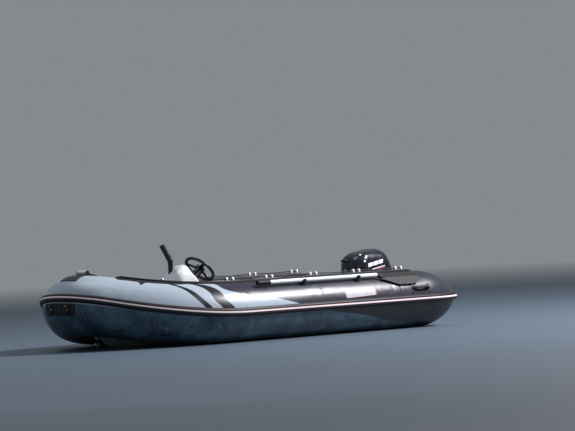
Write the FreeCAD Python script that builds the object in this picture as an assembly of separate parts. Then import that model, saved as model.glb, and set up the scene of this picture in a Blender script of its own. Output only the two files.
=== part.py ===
"""A rigid inflatable boat of 3.5 m: an air-filled collar on a moulded V hull,
with a steering console, a jockey seat, two oars and a small outboard motor.

Millimetres. X runs aft, so the bow is at -X and the motor at +X. Port is -Y. Z is up
from the water the boat floats on. The origin is at the transom's outer face, on the
centreline, at the waterline.
"""
import FreeCAD, Part
import math
import os

# The collar
tube_diameter = 450.0
tube_half_spacing = 635.0
tube_height = 222.0
bow_curve_start = 1874.0
bow_turn_angle = 48.0
bow_turn_radius = 1.575 * tube_half_spacing
bow_rise_angle = 12.5
nose_turn_radius = 0.4725 * tube_half_spacing
cone_start = 60.0
cone_length = 420.0
cone_nose_radius = 110.0
glue_line = 0.3
seam_gap = 0.5

# The rub strake round the collar and its pale stripe
strake_height = 64.0
strake_depth = 24.0
strake_lip = 3.0
strake_crown_share = 0.55
strake_roll = 2.0
strake_bow_roll = 10.5
stripe_height = 17.0
stripe_depth = 5.0
stripe_proud = 1.5

# The wear strips on top of the collar, with the lifeline and its eyelets
strip_angle = 96.0
strip_width = 90.0
strip_thickness = 18.0
strip_aft_end = 40.0
strip_bow_run = 108.0
rope_diameter = 9.0
eyelet_diameter = 26.0
eyelet_length = 14.0
eyelet_pair = 62.0
eyelet_places = [40.0, 500.0, 960.0, 1420.0, 1820.0]

# The carry handles on the stern ends and the towing patches on the bow
handle_place = 30.0
handle_length = 180.0
handle_width = 62.0
handle_patch_width = 99.0
handle_angle = 24.0
handle_rise = 34.0
handle_thickness = 8.0
tow_patch_length = 165.0
tow_patch_height = 95.0
tow_patch_gap = 8.0
ring_wire = 8.0
ring_width = 52.0

# The valve in each stern chamber
valve_place = 1500.0
valve_angle = 150.0
valve_diameter = 46.0
valve_thickness = 7.0

# The hull, in sections from the transom to the stem
keel_half_width = 9.0
deck_height = 85.0
deck_thickness = 8.0
chine_flat = 26.0
bow_deck_height = 300.0
hull_stations = [
    # x, keel z, chine y, chine z, top y
    (0.0, -178.0, 470.0, -52.0, 600.0),
    (-900.0, -178.0, 470.0, -48.0, 600.0),
    (-1600.0, -172.0, 440.0, -30.0, 560.0),
    (-1900.0, -149.0, 414.0, -8.0, 560.0),
    (-2150.0, -110.0, 370.0, 22.0, 560.0),
    (-2370.0, -52.0, 284.0, 62.0, 450.0),
    (-2550.0, 20.0, 170.0, 112.0, 330.0),
    (-2740.0, 128.0, 40.0, 190.0, 150.0),
]
keel_strip_depth = 8.0
keel_strip_end = 60.0
spray_rail_y = 250.0
spray_rail_width = 30.0
spray_rail_depth = 14.0

# The transom board that carries the motor
transom_thickness = 45.0
transom_top = 240.0
transom_half_width = 430.0
transom_notch_half_width = 262.0
transom_shoulder = 300.0
transom_eye_y = 300.0
transom_eye_z = 130.0
eye_hole_diameter = 14.0
eye_plate_thickness = 10.0
eye_plate_width = 40.0
eye_base_thickness = 5.0
eye_base_width = 64.0
eye_reach = 40.0
drain_y = 150.0
drain_z = 40.0
drain_diameter = 36.0
drain_length = 9.0
pad_thickness = 4.0
pad_half_width = 125.0
pad_drop = 150.0

# The bow locker that is also the step
locker_length = 370.0
locker_to_bow = 128.0
locker_side_gap = 16.0
locker_aft_share = 0.645
locker_top = 300.0
locker_wall = 10.0
lid_thickness = 18.0
lid_gap = 5.0
lid_hinge_radius = 7.0
lid_hinge_length = 90.0

# The console and the seat
console_foot = [-1915.0, -1690.0, 112.0, 45.0]
console_shoulder = 450.0
console_sections = [
    # front, aft, half width, corner, height
    (-1911.0, -1711.0, 110.0, 48.0, 490.0),
    (-1897.0, -1745.0, 101.0, 50.0, 530.0),
    (-1868.0, -1760.0, 82.0, 46.0, 562.0),
    (-1826.0, -1770.0, 50.0, 25.0, 586.0),
    (-1806.0, -1779.0, 20.0, 9.0, 596.0),
]
seat_front = -1430.0
seat_aft = -800.0
seat_half_width = 150.0
seat_height = 455.0
cushion_thickness = 75.0
cushion_overhang = 8.0
seat_corner = 45.0

# The steering wheel, square to the console's sloping aft face
wheel_x = -1606.0
wheel_z = 556.0
wheel_tilt = 45.0
wheel_standoff = 140.0
wheel_diameter = 264.0
wheel_rim = 24.0
wheel_hub_diameter = 78.0
wheel_hub_length = 22.0
wheel_spokes = 3
wheel_spoke_width = 26.0
wheel_spoke_thickness = 6.0
helm_diameter = 62.0
helm_foot_diameter = 84.0
helm_shaft_diameter = 18.0

# The instrument on the console's top and the throttle box on its side
display_x = -1872.0
display_y = 34.0
display_width = 112.0
display_height = 140.0
display_depth = 40.0
display_lean = 25.0
display_swivel = -42.0
display_foot_width = 52.0
display_foot_depth = 38.0
display_foot_top = 640.0
display_corner = 12.0
throttle_x = -1790.0
throttle_z = 372.0
throttle_length = 110.0
throttle_height = 90.0
throttle_depth = 42.0
throttle_corner = 12.0
lever_length = 130.0
lever_thickness = 12.0
lever_width = 24.0
lever_lean = 25.0
lever_knob_diameter = 34.0

# The oars in their clips on the collar
oar_angle = 57.0
oar_lift = 30.0
oar_shaft_diameter = 32.0
oar_grip_end = -1712.0
oar_grip_length = 125.0
oar_grip_diameter = 37.0
oar_blade_start = -465.0
oar_neck_length = 70.0
oar_blade_end = -35.0
oar_blade_angle = 50.0
oar_blade_lift = 18.0
oar_blade_ridge = 12.0
oar_blade_width = 150.0
oar_blade_thickness = 10.0
oar_clip_places = [-1240.0, -670.0]
oar_clip_length = 34.0
oar_clip_wall = 6.0
oar_clip_mouth = 22.0
oar_clip_base = 56.0

# The fairlead on the bow, with its roller
fairlead_half_turn = 12.0
fairlead_length = 280.0
fairlead_thickness = 5.0
fairlead_angle = 86.0
cheek_height = 34.0
cheek_thickness = 8.0
cheek_length = 118.0
cheek_tail_height = 12.0
roller_diameter = 32.0
roller_length = 100.0
roller_gap = 1.0
roller_pin_diameter = 9.0

# The outboard motor
tilt_axis_x = 15.0
tilt_axis_z = 282.0
tilt_tube_diameter = 22.0
tilt_tube_half_length = 112.0
tilt_nut_diameter = 33.0
tilt_boss_radius = 20.0
clamp_half_spacing = 88.0
clamp_plate_thickness = 16.0
clamp_jaw = 42.0
clamp_screw_diameter = 14.0
clamp_screw_z = 165.0
clamp_screw_reach = 75.0
clamp_foot_diameter = 34.0
clamp_bar_length = 74.0
clamp_bar_diameter = 9.0
clamp_foot_drop = 262.0
clamp_knee = [21.0, -238.0]
clamp_back = [33.0, -82.0]
swivel_half_width = 74.0
swivel_wing_half_width = 59.0
swivel_web_half_width = 18.0
swivel_web_rise = 18.0
steer_axis_x = 88.0
steer_shaft_diameter = 44.0
steer_tube_wall = 12.0
steer_tube_bottom = -40.0
steer_tube_top = 300.0
running_gap = 0.05
yoke_thickness = 24.0
yoke_gap = 6.0
steer_arm_length = 96.0
steer_arm_width = 30.0
steer_arm_thickness = 14.0
ram_diameter = 12.0
ram_reach = 190.0
link_bar_diameter = 11.0
link_arm_diameter = 15.4
link_gap = 6.0
leg_front = 126.0
leg_length = 124.0
leg_width = 92.0
leg_foot_length = 140.0
leg_foot_width = 58.0
cavitation_plate_z = -198.0
cavitation_plate_front = 104.0
cavitation_plate_aft = 396.0
cavitation_plate_width = 170.0
cavitation_plate_tail_width = 119.0
cavitation_plate_thickness = 7.0
gearcase_front = 112.0
gearcase_aft = 360.0
gearcase_z = -330.0
gearcase_diameter = 84.0
strut_length = 168.0
strut_width = 46.0
skeg_depth = 118.0
skeg_thickness = 9.0
propeller_diameter = 232.0
propeller_pitch = 230.0
propeller_blades = 3
propeller_gap = 6.0
propeller_hub_diameter = 76.0
propeller_hub_taper = 2 / 3
propeller_hub_length = 88.0
propeller_shaft_diameter = 16.0
blade_sections = [
    # share of the radius, chord, thickness
    (0.24, 62.0, 8.0),
    (0.68, 92.0, 6.0),
    (1.00, 46.0, 3.0),
]
cowl_bottom = 372.0
cowl_seam_height = 432.0
cowl_front = -28.0
cowl_length = 415.0
cowl_width = 292.0
cowl_corner = 105.0
cowl_sections = [
    # height, share of the size, shift aft
    (449.0, 1.00, 0.0),
    (506.0, 0.965, -7.0),
    (550.0, 0.895, -12.0),
    (585.0, 0.78, -8.0),
    (607.0, 0.62, 4.0),
    (623.0, 0.38, 24.0),
    (630.0, 0.18, 32.0),
]
cowl_wall = 5.0
seal_height = 4.0
seal_inset = 3.0
powerhead_front = 40.0
powerhead_length = 240.0
powerhead_half_width = 90.0
powerhead_height = 115.0

tube_radius = tube_diameter / 2
strip_radius = tube_radius + glue_line
port = -1
starboard = 1
up = FreeCAD.Vector(0, 0, 1)
aft = FreeCAD.Vector(1, 0, 0)
across = FreeCAD.Vector(0, 1, 0)
origin = FreeCAD.Vector(0, 0, 0)


def point(x, y, z):
    """A place in the boat."""
    return FreeCAD.Vector(x, y, z)


def face_of(points):
    """A flat face inside straight edges."""
    return Part.Face(Part.makePolygon(points + [points[0]]))


def block(x, y, z):
    """A box between pairs of limits along X, Y and Z."""
    return Part.makeBox(x[1] - x[0], y[1] - y[0], z[1] - z[0], point(x[0], y[0], z[0]))


def rod(start, end, radius):
    """A round bar between two points."""
    line = end - start
    return Part.makeCylinder(radius, line.Length, start, line)


def mirrored(shape):
    """The same piece on the other side of the boat."""
    return shape.mirror(origin, across)


def fused(shapes):
    """One body from several that meet, with its seams cleaned."""
    result = shapes[0]
    if len(shapes) > 1:
        result = result.fuse(shapes[1:])
    return result.removeSplitter()


def side_profile(points, half_width):
    """A plate cut to an outline seen from the side, centred on the boat."""
    face = face_of([point(x, -half_width, z) for x, z in points])
    return face.extrude(across * (2 * half_width))


def rounded_block(x, y, z, corner):
    """A box whose upright edges are rounded."""
    solid = block(x, y, z)
    upright = [edge for edge in solid.Edges if abs(edge.tangentAt(edge.FirstParameter).z) > 0.9]
    return solid.makeFillet(corner, upright)


def save(name, shape):
    """Write one piece of the boat and print its size."""
    if not shape.isValid():
        print("NOT VALID", name)
    shape.exportStep("parts/" + name + ".step")
    print(name, len(shape.Solids), "solids", round(shape.Volume / 1e6, 3), "litres")


def rounded_outline(front, end, half_width, corner, z):
    """A level outline with rounded corners."""
    near = corner * (1 - math.sqrt(0.5))
    corners = [(front, -half_width, 1, 1), (end, -half_width, -1, 1),
               (end, half_width, -1, -1), (front, half_width, 1, -1)]
    arcs = []
    for x, y, inward_x, inward_y in corners:
        along = point(x + inward_x * corner, y, z)
        middle = point(x + inward_x * near, y + inward_y * near, z)
        beside = point(x, y + inward_y * corner, z)
        turn = (beside, middle, along) if inward_x == inward_y else (along, middle, beside)
        arcs.append(turn)
    edges = []
    for index, turn in enumerate(arcs):
        edges.append(Part.Arc(*turn).toShape())
        edges.append(Part.makeLine(turn[2], arcs[(index + 1) % 4][0]))
    return Part.Wire(edges)


# The collar's centre line, port side
class Path:
    """The port tube's centre line: straight, a wide turn that rises, and the nose."""

    def __init__(self):
        rise = math.radians(bow_rise_angle)
        self.start = point(-bow_curve_start, -tube_half_spacing, tube_height)
        inward = point(0, math.cos(rise), math.sin(rise))
        self.turn_axis = (aft * -1).cross(inward)
        self.turn_centre = self.start + inward * bow_turn_radius
        spin = FreeCAD.Rotation(self.turn_axis, bow_turn_angle)
        self.heading = spin.multVec(aft * -1)
        after_turn = self.turn_centre + spin.multVec(self.start - self.turn_centre)
        self.nose_angle = self.heading.getAngle(across)
        self.nose_axis = self.heading.cross(across)
        self.nose_axis.normalize()
        nose_reach = nose_turn_radius * math.sin(self.nose_angle)
        self.run = (-after_turn.y - nose_reach) / self.heading.y
        self.nose_start = after_turn + self.heading * self.run
        to_centre = self.nose_axis.cross(self.heading)
        self.nose_centre = self.nose_start + to_centre * nose_turn_radius

    def turned(self, shape, degrees):
        """A shape at the start of the turn, carried round it."""
        copy = shape.copy()
        copy.rotate(self.turn_centre, self.turn_axis, degrees)
        return copy

    def place(self, distance):
        """The tube's middle, its outboard side and its top, at a distance along the line."""
        out, top = across * -1, up
        if distance <= bow_curve_start:
            return point(-distance, -tube_half_spacing, tube_height), out, top
        turn_length = bow_turn_radius * math.radians(bow_turn_angle)
        angle = math.degrees(min(distance - bow_curve_start, turn_length) / bow_turn_radius)
        spin = FreeCAD.Rotation(self.turn_axis, angle)
        middle = self.turn_centre + spin.multVec(self.start - self.turn_centre)
        out, top = spin.multVec(out), spin.multVec(top)
        beyond = distance - bow_curve_start - turn_length
        if beyond <= 0:
            return middle, out, top
        if beyond <= self.run:
            return middle + self.heading * beyond, out, top
        spin = FreeCAD.Rotation(self.nose_axis, math.degrees((beyond - self.run) / nose_turn_radius))
        middle = self.nose_centre + spin.multVec(self.nose_start - self.nose_centre)
        return middle, spin.multVec(out), spin.multVec(top)

    def bow_places(self):
        """Distances along the bow stretch, closer together where it turns more tightly."""
        turn_length = bow_turn_radius * math.radians(bow_turn_angle)
        nose_length = nose_turn_radius * self.nose_angle
        places = [bow_curve_start + turn_length * i / 16 for i in range(16)]
        start = bow_curve_start + turn_length
        places += [start + self.run * i / 4 for i in range(4)]
        start += self.run
        return places + [start + nose_length * i / 12 for i in range(13)]

    def bow(self, profile, run=None):
        """The bow stretch swept by a profile that stands at the start of the turn.
        It stops part of the way along the straight run, or goes on round the nose."""
        pieces = [profile.revolve(self.turn_centre, self.turn_axis, bow_turn_angle)]
        ahead = self.turned(profile, bow_turn_angle)
        pieces.append(ahead.extrude(self.heading * (run or self.run)))
        if run is None:
            ahead.translate(self.heading * self.run)
            nose = math.degrees(self.nose_angle)
            pieces.append(ahead.revolve(self.nose_centre, self.nose_axis, nose))
        return fused([piece if piece.ShapeType == "Solid" else Part.Solid(piece) for piece in pieces])

    def side(self, profile, length):
        """The straight stretch swept aft from the start of the turn."""
        return profile.extrude(aft * length)


path = Path()


def on_section(radius, degrees, x=-bow_curve_start):
    """A point of the port tube's section: 0 degrees points outboard and 90 up."""
    angle = math.radians(degrees)
    return point(x, -tube_half_spacing - radius * math.cos(angle), tube_height + radius * math.sin(angle))


def band(inner, outer, middle, width, x=-bow_curve_start):
    """A strip of the tube's section between two radii, as a flat face."""
    half = math.degrees(width / 2 / inner)
    low, high = middle - half, middle + half
    edges = [
        Part.Arc(*[on_section(inner, degrees, x) for degrees in (low, middle, high)]).toShape(),
        Part.makeLine(on_section(inner, high, x), on_section(outer, high, x)),
        Part.Arc(*[on_section(outer, degrees, x) for degrees in (high, middle, low)]).toShape(),
        Part.makeLine(on_section(outer, low, x), on_section(inner, low, x)),
    ]
    return Part.Face(Part.Wire(edges))


def tube_disc(grow=0):
    """The tube's round section at the start of the turn."""
    circle = Part.makeCircle(tube_radius + grow, path.start, aft)
    return Part.Face(Part.Wire(circle))


def collar_space():
    """What the collar fills with its glue, which the pieces inside it are cut back from."""
    reach = bow_curve_start + cone_start + cone_length
    half = fused([path.side(tube_disc(glue_line), reach), path.bow(tube_disc(glue_line))])
    return fused([half, mirrored(half)])


def cone_outline():
    """Where the stern cone's two arcs meet: the flank's radius and the meeting point."""
    nose_centre = cone_length - cone_nose_radius
    reach = nose_centre ** 2 + tube_radius ** 2 - cone_nose_radius ** 2
    flank = reach / (2 * (tube_radius - cone_nose_radius))
    slope = math.atan2(flank - tube_radius, nose_centre)
    meet = (flank * math.cos(slope), tube_radius - flank + flank * math.sin(slope))
    return flank, slope, meet


def stern_cone():
    """The closed end of the port tube, a bullet shape turned about its centre line."""
    flank, slope, meet = cone_outline()
    nose_centre = cone_length - cone_nose_radius

    def at(along, out):
        return point(cone_start + along, -tube_half_spacing, tube_height + out)

    halfway = (math.pi / 2 + slope) / 2
    flank_mid = at(flank * math.cos(halfway), tube_radius - flank + flank * math.sin(halfway))
    half_slope = slope / 2
    nose_mid = at(nose_centre + cone_nose_radius * math.cos(half_slope),
                  cone_nose_radius * math.sin(half_slope))
    outline = Part.Wire([
        Part.makeLine(at(0, 0), at(0, tube_radius)),
        Part.Arc(at(0, tube_radius), flank_mid, at(*meet)).toShape(),
        Part.Arc(at(*meet), nose_mid, at(cone_length, 0)).toShape(),
        Part.makeLine(at(cone_length, 0), at(0, 0)),
    ])
    return Part.Face(outline).revolve(at(0, 0), aft, 360)


def make_collar():
    """Three air chambers that meet face to face."""
    straight = path.side(tube_disc(), bow_curve_start + cone_start)
    side_tube = fused([straight, stern_cone()])
    half_bow = path.bow(tube_disc())
    return side_tube, mirrored(side_tube), fused([half_bow, mirrored(half_bow)])


def roll_at(distance):
    """How far the strake climbs above the tube's side, in degrees: more round the bow."""
    share = (distance - bow_curve_start) / (path.bow_places()[-1] - bow_curve_start)
    share = min(max(share, 0), 1)
    return strake_roll + (strake_bow_roll - strake_roll) * share * share * (3 - 2 * share)


def beside_tube(distance, radius, degrees):
    """A point beside the tube, by its distance along the line, its radius and its angle."""
    middle, out, top = path.place(distance)
    angle = math.radians(degrees)
    return middle + out * (radius * math.cos(angle)) + top * (radius * math.sin(angle))


def strake_wire(distance):
    """The strake's section: a D with two thin lips and a groove for the stripe."""
    base = strip_radius + glue_line
    outer = strip_radius + strake_depth
    lip = strip_radius + strake_lip
    half = math.degrees(strake_height / 2 / strip_radius)
    crown = half * strake_crown_share
    groove = math.degrees(stripe_height / 2 / outer)
    floor = outer - stripe_depth
    rounds = [(base, -half), (lip, -half), (outer, -crown), (outer, -groove), (floor, -groove),
              (floor, groove), (outer, groove), (outer, crown), (lip, half), (base, half)]
    roll = roll_at(distance)
    corners = [beside_tube(distance, radius, angle + roll) for radius, angle in rounds]
    edges = [Part.makeLine(corners[i], corners[i + 1]) for i in range(len(corners) - 1)]
    inner_middle = beside_tube(distance, base, roll)
    edges.append(Part.Arc(corners[-1], inner_middle, corners[0]).toShape())
    return Part.Wire(edges)


def stripe_wire(distance):
    """The stripe's section, which fills the strake's groove and stands a little proud."""
    outer = strip_radius + strake_depth
    half = math.degrees(stripe_height / 2 / outer)
    floor = outer - stripe_depth
    roll = roll_at(distance)
    low, high = roll - half, roll + half
    corners = [beside_tube(distance, radius, angle)
               for radius, angle in ((floor, low), (floor, high), (outer, high), (outer, low))]
    crown = beside_tube(distance, outer + stripe_proud, roll)
    return Part.Wire([
        Part.makeLine(corners[0], corners[1]),
        Part.makeLine(corners[1], corners[2]),
        Part.Arc(corners[2], crown, corners[3]).toShape(),
        Part.makeLine(corners[3], corners[0]),
    ])


def round_the_boat(wire_at):
    """A trim run along the port side, round the bow and back along starboard."""
    straight = path.side(Part.Face(wire_at(bow_curve_start)), bow_curve_start + cone_start)
    bow = Part.makeLoft([wire_at(distance) for distance in path.bow_places()], True, False)
    half = fused([straight, bow])
    return fused([half, mirrored(half)])


def make_wear_strips():
    """The black strips along the tops of the tubes."""
    inner = strip_radius
    face = band(inner, inner + strip_thickness, strip_angle, strip_width)
    straight = path.side(face, bow_curve_start + strip_aft_end)
    strip = fused([straight, path.bow(face, strip_bow_run)])
    return Part.makeCompound([strip, mirrored(strip)])


def lifeline_radius():
    """How far the lifeline's middle lies from the tube's middle."""
    return strip_radius + strip_thickness + eyelet_diameter / 2


def make_eyelets():
    """The pairs of pale eyelets that hold the lifeline on the wear strips."""
    hole = rope_diameter / 2 + glue_line
    top = strip_radius + strip_thickness
    eyelets = []
    for place in eyelet_places:
        for shift in (0, eyelet_pair):
            x = -place - shift
            start = on_section(lifeline_radius(), strip_angle, x)
            ring = Part.makeCylinder(eyelet_diameter / 2, eyelet_length, start, aft)
            foot = band(top, lifeline_radius(), strip_angle, eyelet_diameter, x).extrude(aft * eyelet_length)
            bore = Part.makeCylinder(hole, eyelet_length, start, aft)
            inside = Part.makeCylinder(top, eyelet_length, point(x, -tube_half_spacing, tube_height), aft)
            eyelets.append(fused([ring, foot]).cut(bore).cut(inside))
    return Part.makeCompound(eyelets + [mirrored(eyelet) for eyelet in eyelets])


def make_lifelines():
    """The ropes pulled straight through the eyelets, each ending in a stopper."""
    start = on_section(lifeline_radius(), strip_angle)
    face = Part.Face(Part.Wire(Part.makeCircle(rope_diameter / 2, start, aft)))
    rope = path.side(face, bow_curve_start - eyelet_places[0] + 2 * eyelet_length)
    stopper_places = (-eyelet_places[0] + eyelet_length + glue_line, )
    parts = [rope]
    for x in stopper_places:
        start = on_section(lifeline_radius(), strip_angle, x)
        parts.append(Part.makeCylinder(rope_diameter, eyelet_length, start, aft))
    line = fused(parts)
    return Part.makeCompound([line, mirrored(line)])


def make_stern_handles():
    """A carry handle on each stern end: a patch with a grip that stands off it."""
    inner = strip_radius
    base = inner + handle_thickness / 2
    top = inner + handle_rise
    start = handle_place - handle_length
    leg = handle_length / 6
    patch = band(inner, base, handle_angle, handle_patch_width, start).extrude(aft * handle_length)
    grip = band(base, top, handle_angle, handle_width / 2, start + leg / 2)
    grip = grip.extrude(aft * (handle_length - leg))
    hollow = band(base, top - handle_thickness, handle_angle, handle_width, start + leg * 1.5)
    grip = grip.cut(hollow.extrude(aft * (handle_length - 3 * leg)))
    handle = fused([patch, grip])
    return Part.makeCompound([handle, mirrored(handle)])


def make_tow_points():
    """A patch on each side of the nose with a towing ring under its strap."""
    below_strake = math.degrees((strake_height / 2 + tow_patch_gap + tow_patch_height / 2) / strip_radius)
    middle_angle = roll_at(path.bow_places()[-1]) - below_strake
    arm = nose_turn_radius + strip_radius * math.cos(math.radians(middle_angle))
    sweep = math.degrees(tow_patch_length / arm)
    start = math.degrees(tow_patch_gap / arm)

    def beside_nose(shape, degrees):
        copy = at_nose(shape)
        copy.rotate(path.nose_centre, path.nose_axis, -degrees)
        return copy

    face = band(strip_radius, strip_radius + handle_thickness / 2, middle_angle, tow_patch_height)
    patch = beside_nose(face, start).revolve(path.nose_centre, path.nose_axis, -sweep)
    strap_radius = strip_radius + handle_thickness / 2
    strap_face = band(strap_radius, strap_radius + 2 * ring_wire, middle_angle, ring_width)
    strap = beside_nose(strap_face, start + sweep / 3).revolve(path.nose_centre, path.nose_axis, -sweep / 3)
    middle = on_section(strap_radius + ring_wire, middle_angle)
    out = on_section(strap_radius + 2 * ring_wire, middle_angle) - middle
    ring = beside_nose(Part.makeTorus(ring_width / 2, ring_wire / 2, middle, out), start + sweep / 2)
    channel = Part.makeTorus(ring_width / 2, ring_wire / 2 + glue_line, middle, out)
    plate = fused([patch, strap]).cut(beside_nose(channel, start + sweep / 2))
    patches = Part.makeCompound([plate, mirrored(plate)])
    rings = Part.makeCompound([ring, mirrored(ring)])
    return patches, rings


def make_valves():
    """An inflation valve on the inner side of each stern chamber."""
    start = on_section(tube_radius - valve_thickness, valve_angle, -valve_place)
    end = on_section(tube_radius + valve_thickness, valve_angle, -valve_place)
    cap = rod(start, end, valve_diameter / 2)
    inside = Part.makeCylinder(strip_radius, valve_place, path.start, aft)
    valve = cap.cut(inside)
    return Part.makeCompound([valve, mirrored(valve)])


# The hull
def hull_section(station):
    """One section of the hull, from the keel flat round the chines to the top."""
    x, keel_z, chine_y, chine_z, top_y = station
    side = [(keel_half_width, keel_z), (chine_y, chine_z),
            (chine_y + chine_flat, chine_z), (top_y, bow_deck_height)]
    outline = [point(x, y, z) for y, z in side] + [point(x, -y, z) for y, z in reversed(side)]
    return Part.makePolygon(outline + [outline[0]])


def bottom_at(station, y):
    """The height of the hull's bottom at a distance from the keel."""
    x, keel_z, chine_y, chine_z, top_y = station
    return keel_z + (chine_z - keel_z) * (y - keel_half_width) / (chine_y - keel_half_width)


def spray_rail():
    """A wedge under the flat of the hull's bottom that throws spray aside."""
    ends = []
    for station in hull_stations[:2]:
        inner_z = bottom_at(station, spray_rail_y)
        outer_z = bottom_at(station, spray_rail_y + spray_rail_width)
        corners = [(spray_rail_y, inner_z), (spray_rail_y + spray_rail_width, outer_z),
                   (spray_rail_y + spray_rail_width, outer_z - spray_rail_depth - outer_z + inner_z)]
        outline = [point(station[0], y, z) for y, z in corners]
        ends.append(Part.makePolygon(outline + [outline[0]]))
    return Part.makeLoft(ends, True, True)


def make_hull():
    """The moulded hull: a V bottom with chines, cut back to the collar and the deck."""
    form = Part.makeLoft([hull_section(station) for station in hull_stations], True, True)
    rail = spray_rail()
    form = form.fuse([rail, mirrored(rail)])
    cockpit = block((locker_ends()[0], tube_diameter), (-tube_diameter * 2, tube_diameter * 2),
                    (deck_height, bow_deck_height + 1))
    return form.cut(cockpit).cut(collar_space())


def make_keel_strip():
    """The rubbing strip under the straight of the keel."""
    x, keel_z = hull_stations[1][:2]
    width = (-keel_half_width, keel_half_width)
    return block((x, -keel_strip_end), width, (keel_z - keel_strip_depth, keel_z))


def make_deck():
    """The cockpit's floor, from the transom to the bow locker."""
    floor = block((locker_ends()[1], -transom_thickness), (-tube_half_spacing, tube_half_spacing),
                  (deck_height, deck_height + deck_thickness))
    return floor.cut(collar_space())


def make_transom():
    """The board that carries the motor: high at the tubes and low in the middle."""
    notch = transom_notch_half_width
    edge = transom_half_width
    rise = transom_shoulder - transom_top
    right = [(notch, transom_top), (notch + rise, transom_shoulder),
             (edge, transom_shoulder), (edge, deck_height)]
    outline = right + [(-y, z) for y, z in reversed(right)]
    face = face_of([point(-transom_thickness, y, z) for y, z in outline])
    return face.extrude(aft * transom_thickness).cut(collar_space())


def make_transom_pads():
    """The plates that the motor's clamps bite on, inside and outside the transom."""
    y = (-pad_half_width, pad_half_width)
    inner_z = (transom_top - pad_drop + deck_thickness, transom_top)
    inner = block((-transom_thickness - pad_thickness, -transom_thickness), y, inner_z)
    outer = block((0, pad_thickness), y, (transom_top - pad_drop, transom_top))
    return Part.makeCompound([inner, outer])


def eye(base_width, height):
    """An eye that stands on its base along +Z, with its hole along Y."""
    half = eye_plate_width / 2
    base = rounded_block((-base_width / 2, base_width / 2), (-half, half), (0, eye_base_thickness), half / 3)
    plate = block((-half, half), (-eye_plate_thickness / 2, eye_plate_thickness / 2), (0, height))
    top = point(0, -eye_plate_thickness / 2, height)
    end = Part.makeCylinder(half, eye_plate_thickness, top, across)
    hole = Part.makeCylinder(eye_hole_diameter / 2, eye_plate_thickness, top, across)
    return fused([base, plate, end]).cut(hole)


def make_stern_eyes():
    """A lifting eye on each side of the transom, lying flat, with its hole upright."""
    eyes = []
    for side in (port, starboard):
        piece = eye(eye_base_width, eye_reach)
        piece.rotate(origin, across, 90)
        piece.rotate(origin, aft, 90)
        piece.translate(point(0, side * transom_eye_y, transom_eye_z))
        eyes.append(piece)
    return Part.makeCompound(eyes)


def stem_place():
    """The middle of the stem's straight stretch and its slope."""
    x0, z0 = hull_stations[-2][:2]
    x1, z1 = hull_stations[-1][:2]
    return point((x0 + x1) / 2, 0, (z0 + z1) / 2), math.degrees(math.atan2(z1 - z0, x0 - x1))


def make_bow_eye():
    """The towing eye on the stem, which points ahead and down."""
    place, slope = stem_place()
    piece = eye(eye_base_width, eye_reach)
    piece.rotate(origin, across, 180 + slope)
    piece.translate(place)
    return piece


def make_drains():
    """The two drain sockets low on the transom."""
    sockets = []
    for side in (port, starboard):
        start = point(0, side * drain_y, drain_z)
        body = Part.makeCylinder(drain_diameter / 2, drain_length, start, aft)
        bore = Part.makeCylinder(drain_diameter / 4, drain_length, start, aft)
        sockets.append(body.cut(bore))
    return Part.makeCompound(sockets)


# The bow locker and its lid
def inner_half_width(x):
    """The clear distance from the centreline to the tubes' inner skins, in the bow's turn."""
    inner_turn = bow_turn_radius - tube_radius
    turned = math.asin((path.start.x - x) / inner_turn)
    inward = (bow_turn_radius - inner_turn * math.cos(turned)) * math.cos(math.radians(bow_rise_angle))
    return tube_half_spacing - inward


def locker_ends():
    """The locker's front and aft ends, and its half width at each."""
    front = path.nose_centre.x - nose_turn_radius + tube_radius + locker_to_bow
    end = front + locker_length
    front_half = inner_half_width(front) - locker_side_gap
    return front, end, front_half, locker_aft_share * inner_half_width(end)


def locker_outline(inset, z):
    """The locker's outline in plan, narrower towards the bow."""
    front, end, front_half, aft_half = locker_ends()
    corners = [(end - inset, inset - aft_half), (end - inset, aft_half - inset),
               (front + inset, front_half - inset), (front + inset, inset - front_half)]
    return face_of([point(x, y, z) for x, y in corners])


def hinge_place():
    """The lid's hinge line, just above the lid along its forward edge."""
    return point(locker_ends()[0] + 2 * lid_hinge_radius, 0, locker_top + lid_hinge_radius)


def make_locker():
    """The locker's walls, standing on the hull, with a ledge ahead of the lid for its hinge."""
    bottom = deck_height
    height = locker_top - lid_thickness - seam_gap - bottom
    walls = locker_outline(0, bottom).extrude(up * height)
    walls = walls.cut(locker_outline(locker_wall, bottom).extrude(up * height))
    front, end, front_half, aft_half = locker_ends()
    ledge = block((front, hinge_place().x), (-front_half, front_half),
                  (bottom + height - lid_thickness, locker_top))
    ledge = ledge.common(locker_outline(0, bottom).extrude(up * locker_top))
    return fused([walls, ledge])


def make_locker_hinge():
    """The hinge's outer knuckles, their leaves on the ledge, and the pin."""
    hinge = hinge_place()
    inner = lid_hinge_length / 2 + seam_gap
    outer = lid_hinge_length
    parts = [rod(hinge - across * outer, hinge + across * outer, lid_hinge_radius / 2)]
    for side in (port, starboard):
        start = hinge + across * (side * inner)
        end = hinge + across * (side * outer)
        parts.append(rod(start, end, lid_hinge_radius))
        y = sorted((side * inner, side * outer))
        parts.append(block((locker_ends()[0], hinge.x), y, (locker_top, hinge.z)))
    return fused(parts)


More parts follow.
